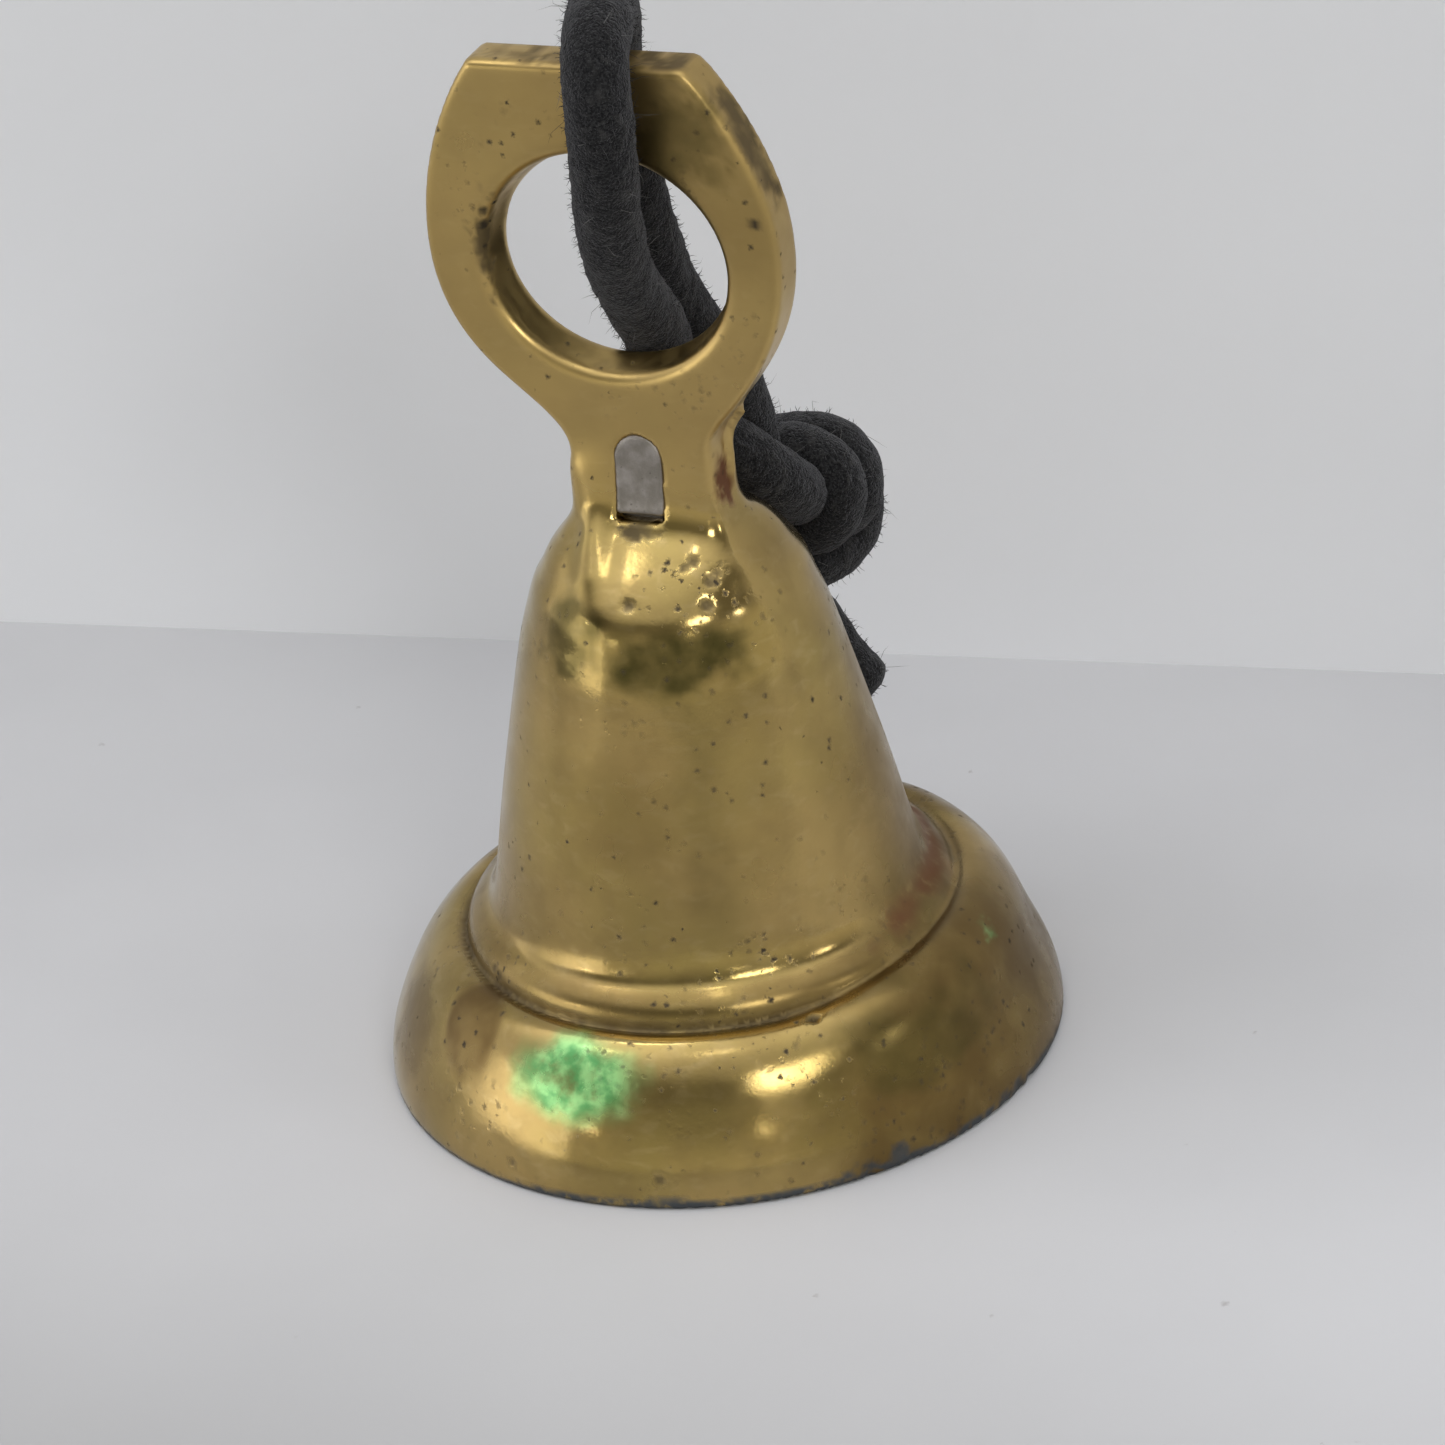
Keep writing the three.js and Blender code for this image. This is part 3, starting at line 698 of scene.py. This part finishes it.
def clapper_shank(material):
    collar, head = BALL_Z + BALL_RADIUS - 0.1, BALL_Z - BALL_RADIUS + 0.1
    profile = [
        (0.02, head - 1.7), (1.2, head - 1.65), (2.1, head - 1.2), (COLLAR_RADIUS, head - 0.5),
        (2.55, head - 0.05), (SHANK_RADIUS, head), (SHANK_RADIUS, collar), (2.5, collar + 0.05),
        (COLLAR_RADIUS, collar + 0.4), (2.4, collar + 1.0), (SHANK_RADIUS, collar + 1.9),
    ]
    top = SHANK_EYE_Z - SHANK_EYE_RADIUS + 0.4
    profile += [(SHANK_RADIUS, z) for z in np.linspace(collar + 3, top - 3.5, 12)]
    profile += [(1.2, top - 0.5), (0.02, top)]
    rod, rod_faces = lathe(profile, 32, ROD_ROUGHNESS, 42)
    eye, eye_faces = wire_ring((0, 0, SHANK_EYE_Z), SHANK_EYE_RADIUS, SHANK_EYE_WIRE, "y", 43)
    faces = rod_faces + [tuple(i + len(rod) for i in face) for face in eye_faces]
    obj = mesh_object("shank", np.vstack([rod, eye]), faces, material)
    stands_for(obj, "clapper", "dull_steel", "clapper_shank")


def clapper_ball(material):
    """A turned ball with a bore right through it and a faint band where it has struck the bell."""
    bore = SHANK_RADIUS + 0.25
    end = math.acos(bore / BALL_RADIUS)
    angles = np.linspace(-end, end, 49)
    worn = 1 - 0.012 * np.exp(-(angles / 0.16) ** 2)
    outer = np.stack([BALL_RADIUS * worn * np.cos(angles), BALL_Z + BALL_RADIUS * np.sin(angles)], 1)
    points, faces = lathe(outer, BALL_SIDES, BALL_ROUGHNESS, 44)
    faces = faces[:-2]
    top = (len(outer) - 1) * BALL_SIDES
    faces += [(top + k, top + (k + 1) % BALL_SIDES, (k + 1) % BALL_SIDES, k) for k in range(BALL_SIDES)]
    stands_for(mesh_object("ball", points, faces, material), "clapper", "ball_brass", "clapper_ball")


# ---- the cord ----
def spaced(line, count):
    """The same line with count points evenly spaced along it."""
    along = np.r_[0, np.cumsum(np.linalg.norm(np.diff(line, axis=0), axis=1))]
    at = np.linspace(0, along[-1], count)
    return np.stack([np.interp(at, along, line[:, i]) for i in range(3)], 1)


def unit(vectors):
    vectors = np.asarray(vectors, float)
    return vectors / np.maximum(np.linalg.norm(vectors, axis=-1, keepdims=True), 1e-9)


def carried(line):
    """Unit tangents along a line, and a unit normal carried along it without twist."""
    tangents = unit(np.gradient(line, axis=0))
    normals = np.empty_like(line)
    normal = np.cross(tangents[0], (0, 1, 0))
    for i, tangent in enumerate(tangents):
        normal = unit(normal - (normal @ tangent) * tangent)
        normals[i] = normal
    return tangents, normals


def loose_knot():
    """The two strands of a doubled overhand knot, before it is pulled tight."""
    t = np.linspace(-2.15, 2.15, 500)
    line = np.stack([0.8 * (t ** 4 - 4 * t ** 2 + 2), 0.5 * (10 * t - t ** 5), 3 * t - t ** 3], 1)
    line = line * KNOT_SPREAD
    side = carried(line)[1]
    up = unit(KNOT_UP)
    ahead = np.array((0.92, 0.39, 0))
    ahead = unit(ahead - ahead @ up * up)
    across = np.cross(up, ahead)
    turn = math.radians(KNOT_TURN)
    axes = np.array([math.cos(turn) * ahead + math.sin(turn) * across,
                     math.cos(turn) * across - math.sin(turn) * ahead, up])
    return [KNOT_CENTRE + spaced(line + s * STRAND_HALF * side, KNOT_POINTS) @ axes for s in (-1, 1)]


def tightened(strands, ends):
    """Pulls a knot tight: both strands shorten, and press on each other and on the bell. ends are where
    each strand's first and last point go."""
    m = KNOT_POINTS
    p = np.vstack(strands)
    total = len(p)
    which = np.repeat([0, 1], m)
    pins = np.array([0, m - 1, m, 2 * m - 1])
    begin, ends = p[pins].copy(), np.array(ends, float)
    free = np.ones(total)
    free[pins] = 0
    links = np.flatnonzero(which[1:] == which[:-1])
    inner = np.flatnonzero((which[1:-1] == which[:-2]) & (which[1:-1] == which[2:])) + 1
    middle = np.r_[m // 4:3 * m // 4, m + m // 4:m + 3 * m // 4]
    knotted = np.r_[m // 5:4 * m // 5, m + m // 5:m + 4 * m // 5]
    loose = np.linalg.norm(p[links + 1] - p[links], axis=1).mean()
    first, second = np.triu_indices(total, 2)
    waist = np.array(BEAD_AND_WAIST + BACK_OF_NECK)
    for step in range(TIGHTENING_STEPS):
        done = step / TIGHTENING_STEPS
        p[pins] = begin + (ends - begin) * min(1, ENDS_PULL * done)
        length = loose + (TIGHT_SEGMENT - loose) * min(1, STRANDS_PULL * done)
        for half in (0, 1, 0, 1):
            a = links[half::2]
            d = p[a + 1] - p[a]
            size = np.maximum(np.linalg.norm(d, axis=1), 1e-6)
            share = np.maximum(free[a] + free[a + 1], 1e-9)
            move = ((size - length) / size / share)[:, None] * d
            p[a] += move * free[a][:, None]
            p[a + 1] -= move * free[a + 1][:, None]
        p[inner] += STRAIGHTENING * ((p[inner - 1] + p[inner + 1]) / 2 - p[inner])
        if done > CENTRED_FROM:
            p[knotted] += (KNOT_CENTRE - p[middle].mean(0)) * CENTRING
        if step % PAIRS_EVERY == 0:
            apart = second - first > math.ceil(STRAND_GAP * PAIRS_ALONG / length)
            close = ((p[second] - p[first]) ** 2).sum(1) < (PAIRS_WITHIN * STRAND_GAP) ** 2
            pressed = close & (apart | (which[first] != which[second]))
            one, other = first[pressed], second[pressed]
        for _ in range(3):
            d = p[other] - p[one]
            size = np.maximum(np.linalg.norm(d, axis=1), 1e-6)
            push = np.clip(STRAND_GAP - size, 0, None) / size / 2
            move = np.stack([np.bincount(other, push * d[:, k], total)
                             - np.bincount(one, push * d[:, k], total) for k in range(3)], 1)
            hits = np.bincount(np.r_[one[push > 0], other[push > 0]], minlength=total)
            p += move / np.maximum(hits, 1)[:, None] * PRESSING * free[:, None]
        if done > PUSHED_FROM:
            r = np.hypot(p[:, 0], p[:, 1])
            room = np.interp(p[:, 2], waist[:, 1], waist[:, 0]) + KNOT_CLEARANCE - r
            push = np.clip(room, 0, 1) * free * (p[:, 2] < KNOT_TOP)
            p[:, :2] += p[:, :2] / np.maximum(r, 1)[:, None] * push[:, None]
    return p[:m], p[m:]


def cord_line():
    """The whole cord from one cut end to the other, evenly spaced."""
    loop = through(LOOP)
    up, down = tightened(loose_knot(), [loop[0], TAIL_IN_VIEW_END, loop[-1], TAIL_BEHIND_END])
    line = np.vstack([up[::-1], loop[1:-1], down])
    length = np.linalg.norm(np.diff(line, axis=0), axis=1).sum()
    line = spaced(line, int(length / CORD_STEP))
    for _ in range(30):
        line[1:-1] += 0.4 * ((line[:-2] + line[2:]) / 2 - line[1:-1])
    return spaced(line, len(line))


def pressed_flat(line, directions, reach):
    """Cuts each ring of reaches down to halfway to any other run of cord that presses on it."""
    first, second = np.triu_indices(len(line), int(FLATTEN_ALONG / CORD_STEP))
    near = ((line[second] - line[first]) ** 2).sum(1) < (2 * CORD_RADIUS + FLATTEN_REACH) ** 2
    first, second = first[near], second[near]
    for a, b in ((first, second), (second, first)):
        d = line[b] - line[a]
        towards = np.einsum("nsk,nk->ns", directions[a], d)
        limit = (d ** 2).sum(1)[:, None] / np.maximum(2 * towards, 1e-6) - FLATTEN_GAP
        np.minimum.at(reach, a, np.where(towards > 0, limit, 1e3))
    return reach


def cord(material, lint_material):
    line = cord_line()
    tangents, normals = carried(line)
    binormals = np.cross(tangents, normals)
    angle = np.linspace(0, 2 * np.pi, CORD_SIDES, endpoint=False)
    directions = normals[:, None] * np.cos(angle)[:, None] + binormals[:, None] * np.sin(angle)[:, None]
    along = np.arange(len(line)) * CORD_STEP
    from_end = np.minimum(along, along[::-1])
    rounded = np.sqrt(np.clip(1 - np.clip(1 - from_end / END_LENGTH, 0, 1) ** 2.2, 0.01, 1))
    flare = 1 + FLARE * np.exp(-((from_end - FLARE_FROM_END) / FLARE_LENGTH) ** 2)
    reach = np.full((len(line), CORD_SIDES), CORD_RADIUS) * (rounded * flare)[:, None]
    reach = pressed_flat(line, directions, reach)
    base = line[:, None] + directions * reach[..., None]
    flat = base.reshape(-1, 3)
    wrinkles = sum(height * noise(flat, size, seed) for height, size, seed in WRINKLES)
    wrinkles = np.minimum(wrinkles, WRINKLE_TOP).reshape(reach.shape)
    points = (base + directions * wrinkles[..., None]).reshape(-1, 3)
    obj = mesh_object("cord", points, tube_faces(len(line), CORD_SIDES, closed=False), material)
    stands_for(obj, "bell", "black_cord", "cord_loop", "cord_knot", "cord_tail_in_view", "cord_tail_behind")
    normals_out = directions.reshape(-1, 3)
    nap = hairs("cord_nap", points, normals_out, *NAP, material)
    lint = hairs("cord_lint", points, normals_out, *LINT, lint_material)


def hairs(name, roots, outward, count, lengths, width, seed, material):
    """Fine tapered hairs, each a closed spike bent once, that stand on a surface's points."""
    random = np.random.default_rng(seed)
    at = random.integers(0, len(roots), count)
    lean = unit(outward[at] + HAIR_LEAN * random.normal(size=(count, 3)))
    length = random.uniform(*lengths, count)[:, None]
    side = unit(np.cross(lean, random.normal(size=(count, 3))))
    other = np.cross(lean, side)
    bend = unit(lean + HAIR_BEND * random.normal(size=(count, 3)))
    foot = roots[at] - HAIR_ROOT * outward[at]
    middle = foot + lean * (HAIR_ROOT + length * 0.5)
    tip = middle + bend * length * 0.5
    rings = []
    for centre, thick in ((foot, width), (middle, width * 0.8)):
        for a in np.radians((0, 120, 240)):
            rings.append(centre + thick * (math.cos(a) * side + math.sin(a) * other))
    points = np.stack(rings + [tip], 1).reshape(-1, 3)
    faces = []
    for i in range(0, 7 * count, 7):
        faces.append((i + 2, i + 1, i))
        for k in range(3):
            a, b = i + k, i + (k + 1) % 3
            faces += [(a, b, b + 3, a + 3), (a + 3, b + 3, i + 6)]
    obj = mesh_object(name, points, faces, material, smooth=False)
    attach(obj, "bell")
    return obj


# ---- materials ----
class Nodes:
    """A node tree, built a node at a time. An input's value is a socket to link it to, or a constant."""

    def __init__(self, tree):
        self.tree = tree

    def node(self, kind, inputs=None, **settings):
        node = self.tree.nodes.new(kind)
        for key, value in settings.items():
            setattr(node, key, value)
        for key, value in (inputs or {}).items():
            if isinstance(value, bpy.types.NodeSocket):
                self.tree.links.new(value, node.inputs[key])
            else:
                node.inputs[key].default_value = value
        return node

    def math(self, operation, a, b=0.0, clamp=False):
        return self.node("ShaderNodeMath", {0: a, 1: b}, operation=operation, use_clamp=clamp).outputs[0]

    def vector(self, operation, inputs):
        return self.node("ShaderNodeVectorMath", inputs, operation=operation).outputs[0]

    def times(self, *factors):
        total = factors[0]
        for factor in factors[1:]:
            total = self.math("MULTIPLY", total, factor)
        return total

    def span(self, value, low, high, to_low=0.0, to_high=1.0, kind="SMOOTHSTEP"):
        inputs = {0: value, 1: low, 2: high, 3: to_low, 4: to_high}
        return self.node("ShaderNodeMapRange", inputs, interpolation_type=kind).outputs[0]

    def blend(self, factor, a, b):
        inputs = {0: factor}
        for key, value in ((6, a), (7, b)):
            inputs[key] = (*value, 1) if isinstance(value, tuple) else value
        return self.node("ShaderNodeMix", inputs, data_type="RGBA").outputs[2]


class Paint(Nodes):
    """A node material. at is the place on the object, in millimetres."""

    def __init__(self, name, **sockets):
        self.material = bpy.data.materials.new(name)
        self.material.use_nodes = True
        super().__init__(self.material.node_tree)
        self.shader = self.tree.nodes["Principled BSDF"]
        for socket, value in sockets.items():
            self.shader.inputs[socket.replace("_", " ")].default_value = value
        place = self.node("ShaderNodeTexCoord").outputs["Object"]
        self.at = self.vector("SCALE", {0: place, 3: 1 / MM})

    def noise(self, size, detail=3.0, distortion=0.0, stretch=None):
        """Noise from 0 to 1 whose lumps are about size millimetres across."""
        at = self.at
        if stretch:
            at = self.vector("MULTIPLY", {0: at, 1: stretch})
        inputs = {"Vector": at, "Scale": 1 / size, "Detail": detail, "Distortion": distortion}
        return self.node("ShaderNodeTexNoise", inputs).outputs["Fac"]

    def value(self, name):
        """A mask worked out on the mesh's corners."""
        return self.node("ShaderNodeAttribute", attribute_name=name).outputs["Fac"]

    def dots(self, size, radius, seed=0.0):
        """Small ragged spots, one to a cell of the given size, and each of its own radius up to radius."""
        wander = self.node("ShaderNodeTexNoise", {"Vector": self.at, "Scale": 1.2 / radius, "Detail": 2.0})
        wander = self.vector("SCALE", {0: wander.outputs["Color"], 3: 1.5 * radius})
        moved = self.vector("ADD", {0: self.vector("ADD", {0: self.at, 1: (seed, seed, seed)}), 1: wander})
        cells = self.node("ShaderNodeTexVoronoi", {"Vector": moved, "Scale": 1 / size})
        reach = self.node("ShaderNodeSeparateColor", {0: cells.outputs["Color"]}).outputs[0]
        reach = self.span(reach, 0.35, 1.0, 0.0, radius / size)
        share = self.math("DIVIDE", cells.outputs["Distance"], self.math("ADD", reach, 0.001))
        return self.math("SUBTRACT", 1.0, share, clamp=True)

    def finish(self, colour, rough, metal=None, heights=()):
        """heights are (value, depth in millimetres) pairs, each a layer of bump."""
        for socket, value in (("Base Color", colour), ("Roughness", rough), ("Metallic", metal)):
            if isinstance(value, bpy.types.NodeSocket):
                self.tree.links.new(value, self.shader.inputs[socket])
            elif value is not None:
                self.shader.inputs[socket].default_value = (*value, 1) if isinstance(value, tuple) else value
        normal = None
        for value, depth in heights:
            inputs = {"Height": value, "Distance": depth * MM, "Strength": 1.0}
            if normal is not None:
                inputs["Normal"] = normal
            normal = self.node("ShaderNodeBump", inputs).outputs["Normal"]
        if normal is not None:
            self.tree.links.new(normal, self.shader.inputs["Normal"])
        return self.material


def aged_brass():
    """Cast brass, once polished, now handled, smoky and pitted, with stains, painted shade and painted dark
    reflections where its masks say.
    """
    paint = Paint("aged_brass")
    broad, mottle, fine = paint.noise(16.0, 2.0), paint.noise(3.2, 3.0), paint.noise(0.5, 2.0)
    cloud = paint.noise(6.0, 3.0, 0.3)
    colour = paint.blend(paint.span(broad, 0.3, 0.7), (0.44, 0.31, 0.119), (0.39, 0.29, 0.098))
    colour = paint.blend(paint.times(paint.span(mottle, 0.35, 0.8), 0.55), colour, (0.29, 0.205, 0.078))
    scuffs = paint.span(paint.noise(1.1, 4.0, 0.5, (0.5, 0.5, 1.0)), 0.5, 0.75, 0.0, 0.3)
    colour = paint.blend(scuffs, colour, (0.55, 0.42, 0.2))
    colour = paint.blend(paint.times(paint.value("satin"), 0.62), colour, (0.6, 0.42, 0.16))
    rough = paint.span(cloud, 0.25, 0.8, 0.10, 0.24)

    patina = paint.times(paint.value("patina"), paint.span(cloud, 0.2, 0.7, 0.6, 1.0))
    colour = paint.blend(patina, colour, (0.15, 0.095, 0.034))
    # darkened for smoke stains, and for painted dark reflections of the room on the shoulder and waist
    smoke_and_dark_reflection = paint.times(paint.value("smoke_and_dark_reflection"), paint.span(mottle, 0.2, 0.7, 0.6, 1.0))
    colour = paint.blend(smoke_and_dark_reflection, colour, (0.085, 0.07, 0.023))
    rust = paint.times(paint.value("rust"), paint.span(paint.noise(1.6, 4.0), 0.15, 0.5))
    colour = paint.blend(rust, colour, (0.145, 0.055, 0.02))
    green = paint.times(paint.value("green"), paint.span(paint.noise(2.4, 5.0), 0.22, 0.55, 0.35, 1.0))
    shade = paint.blend(paint.span(paint.noise(1.8, 4.0), 0.35, 0.65), (0.12, 0.42, 0.13), (0.4, 0.8, 0.3))
    colour = paint.blend(green, colour, shade)
    specks = paint.times(paint.dots(1.3, 0.4), paint.span(broad, 0.3, 0.6), 1.5)
    pits = paint.times(paint.dots(0.9, 0.5, 31.0), paint.value("pitted"), 1.6)
    # darkened for dirt and pits, plus painted shade in the crease and in the recess under the strap
    grime_and_shade = paint.times(paint.value("grime_and_shade"), paint.span(mottle, 0.2, 0.6, 0.5, 1.0))
    grime_and_shade = paint.math("MAXIMUM", paint.value("pit"), grime_and_shade)
    dark = paint.math("MAXIMUM", grime_and_shade, paint.math("MAXIMUM", paint.times(specks, 0.8), pits), clamp=True)
    colour = paint.blend(dark, colour, (0.06, 0.045, 0.026))
    oxide = paint.times(paint.value("oxide"), paint.span(paint.noise(1.4, 3.0), 0.25, 0.5))
    colour = paint.blend(oxide, colour, (0.075, 0.083, 0.09))

    dull = paint.math("ADD", paint.times(rust, 0.4), paint.times(oxide, 0.4))
    dull = paint.math("ADD", paint.times(dark, 0.45), dull)
    soft = paint.math("ADD", paint.times(patina, 0.2), paint.times(green, 0.12))
    soft = paint.math("ADD", soft, paint.times(paint.value("satin"), 0.17))
    rough = paint.math("ADD", rough, paint.math("ADD", dull, soft), clamp=True)
    stained = paint.math("ADD", paint.times(dull, 0.9), paint.times(green, 0.55))
    metal = paint.math("SUBTRACT", 1.0, stained, clamp=True)
    hollows = paint.math("SUBTRACT", 1.0, paint.math("MAXIMUM", grime_and_shade, pits), clamp=True)
    heights = [(paint.noise(9.0, 1.0), 0.07), (fine, 0.006), (hollows, 0.05)]
    return paint.finish(colour, rough, metal, heights)


def grey_iron():
    """The iron strap, ground flush with the brass and dulled to a pinkish grey."""
    paint = Paint("grey_iron")
    cloud, grain = paint.noise(1.6, 3.0), paint.noise(0.16, 2.0)
    colour = paint.blend(paint.span(cloud, 0.35, 0.7), (0.25, 0.228, 0.20), (0.37, 0.34, 0.315))
    colour = paint.blend(paint.times(paint.dots(0.7, 0.16), 0.7), colour, (0.06, 0.045, 0.04))
    rough = paint.span(grain, 0.3, 0.7, 0.38, 0.55)
    return paint.finish(colour, rough, 0.85, [(grain, 0.02), (cloud, 0.05)])


def worn_metal(name, lumps, fading, colours, roughness, metal, relief):
    """A plain metal in two cloudy colours with a fine grain. lumps are the sizes of the clouds and grain."""
    paint = Paint(name)
    cloud, grain = (paint.noise(size, 3.0) for size in lumps)
    colour = paint.blend(paint.span(cloud, *fading), *colours)
    return paint.finish(colour, paint.span(grain, 0.3, 0.7, *roughness), metal, [(grain, relief)])


def black_cord():
    """A soft napped cord: black fibres, a little lighter where the nap stands up."""
    paint = Paint("black_cord", Sheen_Weight=0.32, Sheen_Roughness=0.4, Specular_IOR_Level=0.2)
    paint.shader.inputs["Sheen Tint"].default_value = (0.55, 0.55, 0.58, 1)
    nap, clump = paint.noise(0.22, 4.0, 0.4), paint.noise(1.3, 3.0, 0.8)
    colour = paint.blend(paint.span(nap, 0.35, 0.75), (0.004, 0.004, 0.005), (0.036, 0.036, 0.037))
    colour = paint.blend(paint.times(paint.span(clump, 0.5, 0.75), 0.6), colour, (0.05, 0.049, 0.048))
    return paint.finish(colour, 0.95, 0.0, [(nap, 0.28), (clump, 0.35)])


def pale_lint():
    """The longer, paler hairs and dust that the cord has picked up."""
    paint = Paint("pale_lint", Specular_IOR_Level=0.3)
    mix = paint.noise(4.0, 2.0)
    colour = paint.blend(paint.span(mix, 0.35, 0.65), (0.03, 0.03, 0.032), (0.22, 0.215, 0.21))
    return paint.finish(colour, 0.8, 0.0)


def pale_table():
    paint = Paint("pale_table")
    cloud = paint.noise(60.0, 3.0)
    colour = paint.blend(paint.span(cloud, 0.3, 0.7), (0.585, 0.585, 0.598), (0.62, 0.62, 0.632))
    # painted shade: the table is darker towards the camera, from 20 to 120 mm in front of the bell
    depth = paint.node("ShaderNodeSeparateXYZ", {0: paint.at}).outputs[1]
    colour = paint.blend(paint.span(depth, -120.0, -20.0, 1.0, 0.0), colour, (0.34, 0.337, 0.335))
    colour = paint.blend(paint.times(paint.dots(9.0, 0.5), 0.5), colour, (0.2, 0.17, 0.16))
    paint.finish(colour, 0.6, 0.0, [(paint.noise(0.5, 3.0), 0.01)])
    return one_sided(paint)


def one_sided(paint):
    """Makes the material let everything through from behind."""
    behind = paint.node("ShaderNodeNewGeometry").outputs["Backfacing"]
    clear = paint.node("ShaderNodeBsdfTransparent").outputs[0]
    shown = paint.node("ShaderNodeMixShader", {0: behind, 1: paint.shader.outputs[0], 2: clear}).outputs[0]
    paint.tree.links.new(shown, paint.tree.nodes["Material Output"].inputs["Surface"])
    return paint.material


def pale_wall():
    paint = Paint("pale_wall", Roughness=0.8)
    cloud = paint.noise(80.0, 2.0)
    paint.finish(paint.blend(paint.span(cloud, 0.3, 0.7), (0.82, 0.83, 0.86), (0.85, 0.86, 0.89)), 0.8, 0.0)
    return one_sided(paint)


# ---- camera, floor and lights ----
def camera():
    data = bpy.data.cameras.new("camera")
    data.sensor_width = CAMERA_SENSOR
    data.lens = CAMERA_LENS
    obj = placed("camera", data)
    place = Vector(CAMERA_PLACE) * MM
    right = Vector(CAMERA_RIGHT).normalized()
    up = Vector(CAMERA_UP)
    back = right.cross(up).normalized()
    up = back.cross(right)
    obj.matrix_world = Matrix.Translation(place) @ Matrix((right, up, back)).transposed().to_4x4()
    bpy.context.scene.camera = obj


def stage_plane(name, corners, faces, material):
    mesh = bpy.data.meshes.new(name)
    mesh.from_pydata(corners, [], faces)
    mesh.materials.append(material)
    placed(name, mesh)


def stage():
    """The floor is open under the bell, so that the inside of the bell can be looked at from below."""
    n = FLOOR_SIDES
    around = np.linspace(0, 2 * np.pi, n, endpoint=False)
    corners = [(reach * math.cos(a), reach * math.sin(a), 0) for reach in (FLOOR_OPENING, FLOOR_REACH)
               for a in around]
    quads = [(k, n + k, n + (k + 1) % n, (k + 1) % n) for k in range(n)]
    stage_plane("floor", corners, quads, pale_table())
    middle, along = Vector(WALL_MIDDLE), Vector(WALL_ALONG) * WALL_HALF_WIDTH
    rise = Vector((0, 0, WALL_HEIGHT))
    corners = [middle + along, middle - along, middle - along + rise, middle + along + rise]
    stage_plane("wall", corners[::-1], [(0, 1, 2, 3)], pale_wall())


def area_light(name, azimuth, elevation, away, size, power):
    """A soft light that looks at the bell."""
    data = bpy.data.lights.new(name, "AREA")
    data.shape = "RECTANGLE"
    data.size, data.size_y = size
    data.energy = power
    obj = placed(name, data)
    a, e = math.radians(azimuth), math.radians(elevation)
    towards = Vector((math.sin(a) * math.cos(e), -math.cos(a) * math.cos(e), math.sin(e)))
    obj.location = Vector(LIT_PLACE) + towards * away
    obj.rotation_euler = towards.to_track_quat("Z", "Y").to_euler()


def world():
    """A room: pale behind the bell and overhead, darker on the side that the camera stands."""
    made = bpy.data.worlds.new("room")
    bpy.context.scene.world = made
    made.use_nodes = True
    made.node_tree.nodes.clear()
    room = Nodes(made.node_tree)
    place = room.node("ShaderNodeTexCoord").outputs["Generated"]
    facing = room.node("ShaderNodeVectorMath", {0: place, 1: CAMERA_SIDE}, operation="DOT_PRODUCT")
    camera_side = room.span(facing.outputs["Value"], -0.35, 0.35, kind="LINEAR")
    height = room.node("ShaderNodeSeparateXYZ", {0: place}).outputs["Z"]
    near = room.blend(room.span(height, 0.1, 0.45, kind="LINEAR"), NEAR_LOW, NEAR_HIGH)
    around = room.blend(camera_side, ROOM_BEHIND, near)
    ceiling = room.blend(camera_side, CEILING_BEHIND, CEILING_NEAR)
    colour = room.blend(room.span(height, 0.62, 0.92, kind="LINEAR"), around, ceiling)
    background = room.node("ShaderNodeBackground", {"Color": colour})
    room.node("ShaderNodeOutputWorld", {"Surface": background.outputs[0]})


# ---- the whole scene ----
bpy.context.scene.view_settings.view_transform = "Standard"
camera()
world()
for light in LIGHTS:
    area_light(*light)
stage()
bell_casting(aged_brass())
steel = worn_metal("dull_steel", (2.2, 0.3), (0.4, 0.65), ((0.33, 0.31, 0.29), (0.16, 0.12, 0.095)),
                   (0.35, 0.6), 0.9, 0.03)
crown_strap(grey_iron())
clapper_link(steel)
clapper_shank(steel)
clapper_ball(worn_metal("ball_brass", (2.5, 0.25), (0.35, 0.65), ((0.52, 0.37, 0.13), (0.27, 0.2, 0.08)),
                        (0.28, 0.45), 1.0, 0.015))
cord(black_cord(), pale_lint())
